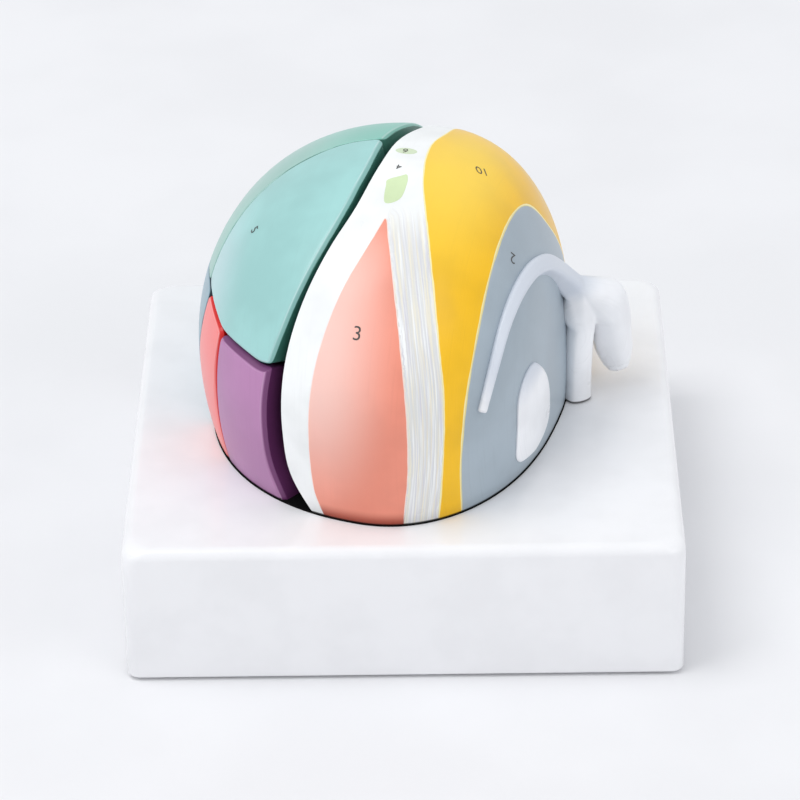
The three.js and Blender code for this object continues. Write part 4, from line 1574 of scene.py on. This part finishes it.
    def screw(self, place: Point) -> Solid:
        """Pan-head screw with a cross recess and a thread, drawn as grooves round the shank.

        Args:
            place: Middle of the screw.

        Returns:
            The screw.
        """
        head, shank, height, bottom = self.head_radius, self.shank_radius, self.head_height, STAND.foot_proud
        profile = [(head * 0.55, 0.0), (head * 0.85, 0.2), (head, 0.75), (head, height - 0.1)]
        profile += [(head - 0.1, height), (shank, height)]
        for z in np.arange(height + 0.5, height + self.screw_length * 0.9, self.thread_pitch):
            profile += [(shank * 0.78, z), (shank, z + 0.35), (shank, z + 0.45)]
        profile.append((0.25, height + self.screw_length))
        x, y, _ = place
        screw = turned(profile, (x, y, bottom), sides=32)
        for half_x, half_y in (self.recess, self.recess[::-1]):
            arm = brick((x - half_x, y - half_y, bottom - 1), (x + half_x, y + half_y, bottom + 1.0))
            screw = screw.cut(arm)
        return screw

    def foot(self, place: Point) -> Solid:
        """Round rubber foot with a soft lower edge and a shallow dish below.

        Args:
            place: Middle of the foot.

        Returns:
            The foot.
        """
        radius, soft, top = self.foot_radius, STAND.foot_proud, self.foot_thickness
        profile = [(radius * 0.45, 0.25), (radius * 0.6, 0.0)]
        for a in np.radians(np.linspace(0, 90, 7)):
            profile.append((radius - soft * (1 - math.sin(a)), soft * (1 - math.cos(a))))
        profile += [(radius, top - 0.2), (radius - 0.2, top)]
        return turned(profile, place)

    def pieces(self) -> Iterator[Piece]:
        """Build and dress every piece of the base.

        Yields:
            The pieces.
        """
        def piece(name: str, solid: Solid, finish: Finish, node: str) -> Piece:
            """A piece of the base, which stands for one CAD node."""
            return Piece(name, solid, finish, self.body, [node], AT_ORIGIN)

        yield piece("shell_box", self.shell(), Finish.WHITE_GLOSS_MOULDED_ABS, "base_shell")
        yield piece("bottom_plate", self.plate(), Finish.GREY_TEXTURED_MOULDED_ABS, "base_plate")
        steel = Finish.BRIGHT_TURNED_STEEL
        for k, place in enumerate(self.places(self.screw_inset), 1):
            yield piece(f"plate_screw_{k}", self.screw(place), steel, f"base_screw_{k}")
        for k, place in enumerate(self.places(self.foot_inset), 1):
            yield piece(f"rubber_foot_{k}", self.foot(place), Finish.BLACK_MOULDED_RUBBER, f"base_foot_{k}")
        for name, place in STAND.dowels().items():
            top = STAND.top + STAND.dowel_stand
            dowel = rod(STAND.dowel_radius, self.dowel_bottom, top, place, chamfer=self.dowel_chamfer)
            yield piece(f"steel_dowel_{name}", dowel, steel, f"locating_dowel_{name}")


@dataclass(frozen=True)
class OuterBlock:
    """One block that pulls off the outer side: its names, zone, finish and pull direction."""

    name: str
    node: str
    zone: Zone
    finish: Finish
    pull: Array
    depth: float = 14.0
    gap: float = 0.2
    peg_radius: float = 2.5
    peg_stand: float = 6.0
    peg_sink: float = 8.0
    peg_chamfer: float = 0.5

    def along_pull(self, radius: float, extra_below: float, extra_above: float,
                   chamfer: float = 0.0) -> Solid:
        """Rod along the pull, where the peg stands in the core and in the block.

        Args:
            radius: Its radius.
            extra_below: How far it goes on past the peg's end in the core.
            extra_above: How far it goes on past the peg's end in the block.
            chamfer: Size of the chamfer at both ends.

        Returns:
            The rod.
        """
        seat = float(EGG.reach(self.pull)) - self.depth
        start, end = seat - self.peg_sink - extra_below, seat + self.peg_stand + extra_above
        return rod(radius, start, end, axis=self.pull, chamfer=chamfer)

    def solid(self) -> Solid:
        """The block, with the bore that its peg goes into."""
        block = over_zone(self.zone, self.gap, self.depth, lambda away, bevel: -edge_drop(away, bevel))
        return block.cut(self.along_pull(self.peg_radius + STAND.slide_fit, 0.0, STAND.join_gap))

    def hole(self) -> Solid:
        """Cutter for the hole in the core that holds the peg."""
        return self.along_pull(self.peg_radius + STAND.peg_fit, STAND.join_gap, 0.0)

    def peg(self) -> Solid:
        """The steel peg."""
        return self.along_pull(self.peg_radius, 0.0, 0.0, self.peg_chamfer)


def outer_blocks() -> list[OuterBlock]:
    """The six blocks of the outer side, with wide bevels where they face the white band.

    Returns:
        The blocks.
    """
    joint = 0.3
    even = Bevels(joint, joint, joint, joint)
    dorsal_near = raised(joined(RIM_REARWARDS, RIM_OUTWARDS, RIM_FRONT), 0.5)
    ventral_top = joined(DORSAL_REAR[::-1], RIM_REARWARDS)
    turquoise = Finish.TURQUOISE
    return [
        OuterBlock(
            "lateral_dorsal", "lateral_dorsal_nucleus",
            Zone.between(dorsal_near, LATERAL_EDGE, DORSAL_ARC_TOP, DORSAL_ARC,
                         Bevels(0.7, 1.2, joint, joint)),
            turquoise, over(62, -34)),
        OuterBlock(
            "lateral_posterior", "lateral_posterior_nucleus",
            Zone.between(joined(DORSAL_ARC, DORSAL_ARC_TOP), LATERAL_EDGE_REAR, PULVINAR_FRONT, DORSAL_REAR,
                         Bevels(joint, 1.0, joint, joint)),
            Finish.PALE_TURQUOISE, over(112, -42)),
        OuterBlock(
            "pulvinar", "pulvinar",
            Zone.between(SKIRT_REAR, REAR_SEAM, PULVINAR_FRONT[::-1], PULVINAR_INNER,
                         Bevels(joint, joint, joint, 1.4)),
            turquoise, around(-172, 16)),
        OuterBlock(
            "ventral_anterior", "ventral_anterior_nucleus",
            Zone.between(SKIRT_FRONT, VENTRAL_EDGE, RIM_FRONT, FRONT_SEAM, Bevels(joint, 1.4, 2.0, joint)),
            Finish.PURPLE, over(9, -34)),
        OuterBlock(
            "ventral_lateral", "ventral_lateral_nucleus",
            Zone.between(SKIRT_MIDDLE, FRONT_SEAM, RIM_OUTWARDS, MIDDLE_SEAM, Bevels(joint, 1.5, 1.2, joint)),
            Finish.RED, over(14, -53)),
        OuterBlock(
            "ventral_posterior", "ventral_posterior_nucleus",
            Zone.between(SKIRT_OUTER, MIDDLE_SEAM, ventral_top, REAR_SEAM, even),
            Finish.BLUE_GREY, around(-94, 8)),
    ]


@dataclass(frozen=True)
class OuterGroup:
    """The six blocks that pull off, and the two knobs that are bonded to the rear one."""

    blocks: list[OuterBlock]
    knob_size: tuple[float, float, float] = (17.0, 13.0, 12.0)
    knob_height: float = -9.0
    knob_clearance: float = 0.05
    crease: float = 24.0

    def knob(self, direction: Array) -> Solid:
        """Oval knob seated on the surface: a ball stretched to its three sizes and turned to face out.

        Args:
            direction: Where it sits.

        Returns:
            The knob.
        """
        facing = math.degrees(math.atan2(direction[1], direction[0])) + 90
        points = spun(ball(*KNOB_GRID) * np.array(self.knob_size) / 2, facing) + EGG.surface(direction)
        return Solid.welded(points).cut(egg_solid(self.knob_clearance)).seated()

    def pieces(self) -> Iterator[Piece]:
        """Build and dress the blocks and knobs.

        Yields:
            The pieces.
        """
        for block in self.blocks:
            yield Piece(f"{block.node}_block", block.solid(), block.finish, f"{block.name}_block",
                        [block.node], zone=block.zone, crease=self.crease)
        for name, azimuth in (("medial", -178), ("lateral", -148)):
            knob = self.knob(around(azimuth, self.knob_height))
            yield Piece(f"{name}_geniculate_knob", knob, Finish.TURQUOISE,
                        "pulvinar_block", [f"{name}_geniculate_body"])


def swept_rings(path: Array, halves: Array, width_at: Callable[[Array, Array], Array],
                squareness: float, dome: float = 0.5) -> Array:
    """Rings of a bar along a smooth path, with a soft section and domed ends.

    Round the section, the cosine and the sine are raised to the power of two over the squareness: 2
    is an oval, more is a box with soft edges and less is a soft diamond. At each end the section
    shrinks with the cosine of a quarter turn while it moves on by the sine.

    Args:
        path: Points that the bar follows.
        halves: Half width and half thickness at each of them.
        width_at: Gives the direction of the width from the middles and the tangents.
        squareness: Form of the section.
        dome: How far the domed ends stand out.

    Returns:
        The rings, one after the other along the bar.
    """
    line, half = smooth_path(path, SPAN_RINGS), smooth_path(halves, SPAN_RINGS)
    forwards = unit(np.gradient(line, axis=0))
    width = width_at(line, forwards)
    side = unit(width - (width * forwards).sum(axis=1, keepdims=True) * forwards)
    bend = np.radians(np.linspace(12, 84, DOME_RINGS))[:, None]
    before = line[0] - dome * np.sin(bend) * forwards[0]
    after = line[-1] + dome * np.sin(bend) * forwards[-1]
    line = np.vstack([before[::-1], line, after])
    half = np.vstack([half[0] * np.cos(bend)[::-1], half, half[-1] * np.cos(bend)])
    ends = ((len(bend), len(bend)), (0, 0))
    side, forwards = (np.pad(rows, ends, mode="edge") for rows in (side, forwards))
    out = unit(np.cross(forwards, side))
    angles = np.linspace(0, 2 * np.pi, SECTION_SIDES, endpoint=False)
    across, upwards = (
        (np.sign(c) * np.abs(c) ** (2 / squareness))[None, :, None] for c in (np.cos(angles), np.sin(angles))
    )
    wide, thick = half[:, None, :1], half[:, None, 1:]
    return line[:, None] + wide * across * side[:, None] + thick * upwards * out[:, None]


def at_spots(*spots: tuple[float, float, float]) -> Array:
    """Points near the surface from (azimuth, elevation, millimetres above the surface)."""
    return np.array([EGG.surface(around(azimuth, elevation), rise) for azimuth, elevation, rise in spots])


@dataclass(frozen=True)
class Epithalamus:
    """The white ridge, the bridge from its end down to the base, and the lobe behind, as one casting."""

    tip_width: float = 2.4
    end_width: float = 7.2
    rise: float = 2.2
    end_rise: float = 3.8
    swell_start: float = 0.6
    ridge_squareness: float = 4.5
    bridge_section: tuple[float, float] = (8.4, 8.2)
    bridge_squareness: float = 1.6
    lobe_section: tuple[float, float] = (12.0, 11.4)
    lobe_squareness: float = 2.2
    lobe_dome: float = 1.7
    root_depth: float = 3.5
    root_taper: float = 2.2
    skin: float = 0.28
    rounding: int = 3
    clearance: float = 0.03

    def ridge(self) -> Array:
        """The ridge along the upper edge of the inner face, whose rear end swells off the surface.

        Returns:
            Its rings, from the tip.
        """
        spots = ((10, 32), (24.5, 34.9), (38.5, 37.2), (52, 40.2), (66.5, 44.2), (80, 48.5), (94, 52.9))
        rear = at_spots((105, 27.7, 0.6), (109.2, 19, 3.1), (112.5, 11.7, 5.8))
        path = np.vstack([[EGG.surface(over(*spot)) for spot in spots], rear])
        share = np.linspace(0, 1, len(path))
        swell = np.clip((share - self.swell_start) / (1 - self.swell_start), 0, 1)
        width = self.tip_width + (self.end_width - self.tip_width) * share
        halves = np.column_stack([width / 2, self.rise + (self.end_rise - self.rise) * swell])
        return swept_rings(path, halves, lambda line, ahead: np.cross(ahead, line), self.ridge_squareness)

    @staticmethod
    def tapered(path: Array, shares: Sequence[float], section: tuple[float, float], squareness: float,
                dome: float = 0.5) -> Array:
        """Rings of a bar whose stations are shares of a section.

        Args:
            path: Points that the bar follows.
            shares: Share of the full section at each of them.
            section: Depth from front to rear and width of the full section.
            squareness: Form of the section.
            dome: How far the domed ends stand out.

        Returns:
            The rings.
        """
        def rearwards(line: Array, _: Array) -> Array:
            """The depth of the section points to the rear all along."""
            return np.broadcast_to(over(180, 0), line.shape)

        halves = np.array(shares)[:, None] * np.array(section) / 2
        return swept_rings(path, halves, rearwards, squareness, dome)

    def solid(self) -> Solid:
        """Fuse the three bars with the webs that join the ridge to the others, and melt them together.

        The web at the top of the bridge has a root that carries it down to the surface.

        Returns:
            The casting.
        """
        bridge_path = at_spots(
            (112.7, 10.6, 6.1), (111.9, 3.5, 4.5), (111.5, -4.5, 3.4), (111.1, -18.5, 2.9), (111.2, -31.6, 4)
        )
        lobe_path = at_spots((114.7, 12.6, 9.9), (116.1, 8.4, 10.9), (116.8, 1.7, 12), (117.2, -5.7, 12.4),
                             (117, -10, 13.3), (116.4, -13.8, 14.2), (115.9, -14.7, 14.5))
        ridge = self.ridge()
        bridge = self.tapered(bridge_path, (0.8, 0.95, 1, 1, 1), self.bridge_section, self.bridge_squareness)
        lobe = self.tapered(lobe_path, (0.62, 1, 1, 0.96, 0.89, 0.67, 0.55), self.lobe_section,
                            self.lobe_squareness, self.lobe_dome)
        ridge_end = ridge[-SPAN_RINGS - DOME_RINGS :]
        bridge_top = bridge[: 3 * SPAN_RINGS // 2 + DOME_RINGS]
        lobe_top = lobe[: 2 * SPAN_RINGS + DOME_RINGS]
        fall = np.clip(np.linspace(self.root_taper, 0.0, len(bridge_top)), 0, 1)[:, None, None]
        root = bridge_top - self.root_depth * fall * around(112, 8)
        webs = ((ridge_end, lobe_top), (ridge_end, bridge_top, root))
        fillers = (Solid.hull(np.vstack(parts).reshape(-1, 3)) for parts in webs)
        casting = lofted(ridge).fused(lofted(bridge), lofted(lobe), *fillers)
        return casting.melted(self.skin, self.rounding).cut(egg_solid(self.clearance)).seated().largest()


@dataclass(frozen=True)
class Inlay:
    """An area that is bonded into the casting: its name, CAD node, zone and finish."""

    name: str
    node: str
    zone: Zone
    finish: Finish


@dataclass(frozen=True)
class Thalamus:
    """The casting with its white band, the inlays, and the pieces on its inner side."""

    blocks: list[OuterBlock]
    body: str = "thalamus"
    inlay_depth: float = 7.0
    inlay_inset: float = 0.01
    inlay_lip: float = 0.02
    inlay_crown: float = 0.06
    block_flare: float = 0.35
    inlay_flare: float = 0.02
    pad_proud: float = 0.9
    pad_round: float = 0.9
    pad_drop: float = 0.8
    pad_depth: float = 3.0
    felt_proud: float = 0.4
    felt_lift: float = 0.02

    def inlays(self) -> list[Inlay]:
        """The three painted areas of the inner side.

        Returns:
            The inlays.
        """
        anterior = Zone.between(seam(low(-3), low(10)), ANTERIOR_INNER, ANTERIOR_TIP, ANTERIOR_OUTER,
                                softness=0.3)
        mediodorsal = Zone.between(
            seam(low(19), low(27)), MIDLINE_OUTER, seam(low(142), low(125)), MEDIODORSAL_OUTER)
        lowest = [around(azimuth, -42) for azimuth in (36, 75, 115)]
        midline = Zone.between(
            seam(low(27), lowest[0]), seam(*lowest), seam(low(125), lowest[-1]), MIDLINE_OUTER)
        return [
            Inlay("anterior", "anterior_nuclei", anterior, Finish.SALMON),
            Inlay("mediodorsal", "mediodorsal_nucleus", mediodorsal, Finish.YELLOW),
            Inlay("midline", "midline_nuclei", midline, Finish.GREY),
        ]

    def core(self, inlays: Sequence[Inlay]) -> Solid:
        """The casting, with pockets for the blocks and inlays, peg holes and dowel bores.

        Args:
            inlays: What is bonded into it.

        Returns:
            The casting.
        """
        outer_group = Zone.between(
            seam(low(-16), low(0)), LAMINA_OUTER, seam(low(162), low(148)),
            seam(low(-16), low(-60), low(-105), low(-150), low(162)))
        depth = self.blocks[0].depth + STAND.seat_gap
        core = egg_solid().seated().cut(pocket_over(outer_group, depth, self.block_flare))
        for inlay in inlays:
            core = core.cut(pocket_over(inlay.zone, self.inlay_depth + STAND.seat_gap, self.inlay_flare))
        core = core.cut(*(block.hole() for block in self.blocks))
        top = STAND.dowel_stand + STAND.join_gap - STAND.centre_rise
        return core.cut(*self.bores(STAND.seat - 1, top))

    def inlay(self, zone: Zone) -> Solid:
        """An inlay whose soft upper edge laps just over its seam.

        Args:
            zone: The area that it covers.

        Returns:
            The inlay.
        """
        def height(away: Array, bevel: Array) -> Array:
            """Rise from the lip with the square root of the share of the bevel."""
            return self.inlay_lip + self.inlay_crown * np.clip(away / bevel, 0, 1) ** 0.5

        return over_zone(zone, self.inlay_inset, self.inlay_depth, height)

    def pad(self) -> Solid:
        """The flat oval pad, which stands proud with an edge rounded in a quarter circle.

        Returns:
            The pad.
        """
        def height(away: Array, bevel: Array) -> Array:
            """Fall away in a quarter circle over the last stretch before the rim."""
            short = np.clip(1 - away / self.pad_round, 0, 1)
            return self.pad_proud - self.pad_drop * (1 - np.sqrt(1 - short**2))

        oval = Zone.between(
            seam((-21, 44.5), (-27, 46), (-38, 53.6)),
            seam((-38, 53.6), (-44, 61), (-44.8, 67), (-23, 72.7), (4.6, 71.2), (19, 65)),
            seam((21.3, 51.7), (25, 56.5), (19, 65)),
            seam((-21, 44.5), (-4.4, 46.7), (7.3, 47), (15.7, 48.9), (21.3, 51.7)),
            softness=1.0)
        return over_zone(oval, 0.0, self.pad_depth, height)

    def shadow_felt(self) -> Solid:
        """The thin black pad under the casting, with dowel holes. It stands out a little all round as a line
        of painted contact shadow.

        Returns:
            The pad.
        """
        bottom, top = -STAND.centre_rise + self.felt_lift, STAND.seat - self.felt_lift
        reach = 80.0
        layer = brick((-reach, -reach, bottom), (reach, reach, top))
        shadow_felt = egg_solid(self.felt_proud).combined(Operation.OVERLAP, layer)
        return shadow_felt.cut(*self.bores(bottom - 1, top + 1))

    @staticmethod
    def bores(start: float, end: float) -> Iterator[Solid]:
        """Cutters for the bores that slide over the dowels, between two heights."""
        radius = STAND.dowel_radius + STAND.slide_fit
        return (rod(radius, start, end, foot) for foot in STAND.dowels_from_middle())

    def pieces(self) -> Iterator[Piece]:
        """Build and dress every piece that belongs to the thalamus's own body.

        Yields:
            The pieces.
        """
        inlays, ridge_white = self.inlays(), Finish.RIDGE_WHITE
        yield Piece("lamina_casting", self.core(inlays), Finish.LAMINA_WHITE,
                    self.body, ["thalamus_core"], marks={"band_share": band_share})
        for inlay in inlays:
            yield Piece(f"{inlay.name}_inlay", self.inlay(inlay.zone), inlay.finish, self.body, [inlay.node],
                        zone=inlay.zone)
        yield Piece("adhesion_pad", self.pad(), ridge_white, self.body, ["interthalamic_adhesion"])
        yield Piece("epithalamus_casting", Epithalamus().solid(), ridge_white, self.body,
                    ["stria_medullaris", "habenula", "pineal_body"])
        # Black sheet that paints the contact shadow under the thalamus.
        yield Piece("seat_felt_pad", self.shadow_felt(), Finish.BLACK_WOOL_FELT, self.body)
        for block in self.blocks:
            name = f"{block.name}_peg"
            yield Piece(f"{name}_rod", block.peg(), Finish.BRIGHT_TURNED_STEEL, self.body, [name])


@dataclass(frozen=True)
class Digit:
    """A small plain digit painted on a nucleus: its spot is (turn, tilt) and its spin in degrees."""

    text: str
    spot: tuple[float, float]
    height: float
    spin: float
    name: str
    body: str = "thalamus"


@dataclass(frozen=True)
class PaintedMarks:
    """Small painted patches and plain digits on the surface."""

    body: str = "thalamus"
    lift: float = 0.12
    thickness: float = 0.06
    outline_steps: int = 16
    type_scale: float = 1.4

    @staticmethod
    def on_surface(middle: Array, flat: Array, standoff: Array | float, spin: float) -> Array:
        """Wrap flat points on to the surface.

        The flat plane touches at the middle. Its y points over the top and its x to the inner side.

        Args:
            middle: Direction of the middle of the mark.
            flat: Points in millimetres, ... x 2.
            standoff: Height above the surface.
            spin: Degrees by which the mark is turned on the surface.

        Returns:
            Points in millimetres from the middle of the thalamus.
        """
        upwards = unit(np.cross(middle, np.array([-1.0, 0.0, 0.0])))
        side = unit(np.cross(upwards, middle))
        x, y = np.moveaxis(spun(flat, spin), -1, 0)
        towards = middle * EGG.reach(middle) + x[..., None] * side + y[..., None] * upwards
        return EGG.surface(unit(towards), standoff)

    def patch(self, spots: Sequence[tuple[float, float]]) -> Solid:
        """Thin patch of paint inside a smooth closed outline, as rings that shrink to its middle.

        Each ring mixes the outline with its middle, and rises from the edge to the full thickness.

        Args:
            spots: Outline, as pairs of turn and tilt.

        Returns:
            The patch.
        """
        corners = np.array([over(*spot) for spot in spots])
        once = len(corners) * self.outline_steps
        outline = smooth_path(np.vstack([corners] * 3), self.outline_steps)[once : 2 * once]
        middle = unit(outline.mean(axis=0))
        shares = np.array([1.0, 0.97, 0.92, 0.8, 0.6, 0.35, 0.0])[:, None, None]
        directions = unit(looped(outline) * shares + middle * (1 - shares))
        rise = np.array([0.3, 0.75, 0.95, 1.0, 1.0, 1.0, 1.0])[:, None]
        top = EGG.surface(directions, 0.01 + self.thickness * rise)
        under = EGG.surface(directions, 0.005)
        return Solid.welded(top, np.stack([top[0], under[0]]), under)

    def digit(self, mark: Digit) -> Solid:
        """A digit cut from the plain built-in face, wrapped on to the surface.

        Args:
            mark: The digit.

        Returns:
            The thin body of its strokes.
        """
        curve = bpy.data.curves.new(mark.name, "FONT")
        curve.body = mark.text
        curve.size = mark.height * self.type_scale
        curve.align_x = "CENTER"
        curve.align_y = "CENTER"
        curve.extrude = 0.02
        curve.offset = -0.03
        solid = Solid(baked(linked(mark.name, curve)))
        points = solid.points()
        solid.moved(self.on_surface(over(*mark.spot), points[:, :2], self.lift + points[:, 2], mark.spin))
        with edited(solid.mesh) as work:
            bmesh.ops.remove_doubles(work, verts=work.verts, dist=WELD)
        return solid

    def pieces(self) -> Iterator[Piece]:
        """Build and dress the patches and digits.

        Yields:
            The pieces.
        """
        angles = np.linspace(0, 2 * np.pi, 9)[:-1]
        oval = [(87.2 + 1.7 * math.sin(a), -2.7 + 2.9 * math.cos(a)) for a in angles]
        leaf = [(72.5, -3.2), (74.6, -0.6), (75.5, 1.0), (72.0, 2.0), (66.0, 1.9), (64.0, -1.4), (70.3, -3.0)]
        yield Piece("oval_patch", self.patch(oval), Finish.OVAL_GREEN, self.body)
        yield Piece("leaf_patch", self.patch(leaf), Finish.LEAF_GREEN, self.body)
        for mark in (
            Digit("5", (56.8, -36.6), 2.7, 115.0, "digit_lateral_dorsal", "lateral_dorsal_block"),
            Digit("3", (29.4, -0.1), 3.9, 180.0, "digit_anterior"),
            Digit("6", (87.2, -3.0), 2.4, 0.0, "digit_oval"),
            Digit("4", (78.6, -2.1), 2.2, 0.0, "digit_lamina"),
            Digit("10", (90.9, 17.8), 3.0, 35.0, "digit_mediodorsal"),
            Digit("2", (65.8, 36.2), 3.2, 10.0, "digit_midline"),
        ):
            yield Piece(mark.name, self.digit(mark), Finish.INK, mark.body)


@dataclass(frozen=True)
class SoftBox:
    """A square area light that points at the object, with its place and size in metres."""

    name: str
    place: tuple[float, float, float]
    size: float
    watts: float


@dataclass(frozen=True)
class Studio:
    """Floor, lights and the camera at the photograph's angle, in metres and degrees."""

    target: tuple[float, float, float] = (-0.001064, -0.000046, 0.04308)
    distance: float = 1.1482
    azimuth: float = 0.805
    elevation: float = 30.21
    roll: float = -1.121
    lens: float = 184.62
    sensor: float = 36.0
    near_clip: float = 0.05
    lights: tuple[SoftBox, ...] = (
        SoftBox("key_light", (-1.0, -0.3, 2.3), 1.4, 22.5),
        SoftBox("fill_light", (1.5, -1.2, 1.3), 1.4, 7.4),
        SoftBox("side_light", (-1.5, -0.9, 0.75), 0.7, 1.2),
    )
    lights_aim: tuple[float, float, float] = (0.0, 0.0, 0.05)
    surround: tuple[float, float, float, float] = (0.95, 0.97, 1.0, 1.0)
    surround_strength: float = 0.74
    floor_reach: float = 4.0

    def camera(self) -> None:
        """Make the camera and look through it."""
        azimuth, roll = math.radians(self.azimuth), math.radians(self.roll)
        back = Vector(around(self.azimuth, self.elevation))
        right = Vector((math.cos(azimuth), math.sin(azimuth), 0))
        up = back.cross(right)
        rolled_right = right * math.cos(roll) + up * math.sin(roll)
        rolled_up = up * math.cos(roll) - right * math.sin(roll)
        lens = bpy.data.cameras.new("photo_camera")
        lens.lens = self.lens
        lens.sensor_width = self.sensor
        lens.clip_start = self.near_clip
        holder = linked("photo_camera", lens)
        axes = Matrix((rolled_right, rolled_up, back)).transposed()
        holder.matrix_world = Matrix.Translation(Vector(self.target) + back * self.distance) @ axes.to_4x4()
        bpy.context.scene.camera = holder

    def floor(self) -> None:
        """Lay a wide sheet of white background paper."""
        mesh, reach = bpy.data.meshes.new("floor"), self.floor_reach
        corners = [(-reach, -reach, 0), (reach, -reach, 0), (reach, reach, 0), (-reach, reach, 0)]
        mesh.from_pydata(corners, [], [(0, 1, 2, 3)])
        mesh.materials.append(Finish.MATT_WHITE_BACKGROUND_PAPER.material())
        floor = linked("floor", mesh)

    def light(self) -> None:
        """Put up the soft boxes and an even white surround."""
        for box in self.lights:
            lamp = bpy.data.lights.new(box.name, "AREA")
            lamp.shape = "SQUARE"
            lamp.size = box.size
            lamp.energy = box.watts
            holder = linked(box.name, lamp)
            holder.location = box.place
            aim = Vector(self.lights_aim) - Vector(box.place)
            holder.rotation_euler = aim.to_track_quat("-Z", "Y").to_euler()
        world = bpy.data.worlds.new("white_surround")
        world.use_nodes = True
        background = world.node_tree.nodes["Background"]
        background.inputs["Color"].default_value = self.surround
        background.inputs["Strength"].default_value = self.surround_strength
        bpy.context.scene.world = world
        bpy.context.scene.view_settings.view_transform = "Standard"

    def build(self) -> None:
        """Set up everything round the object."""
        self.floor()
        self.light()
        self.camera()


def main() -> None:
    """Build the whole scene, group by group."""
    logging.basicConfig(level=logging.INFO, format="%(name)s: %(message)s")
    Studio().build()
    blocks = outer_blocks()
    for group in (BaseBox(), Thalamus(blocks), OuterGroup(blocks), PaintedMarks()):
        for piece in group.pieces():
            piece.show()


if __name__ == "__main__":
    main()
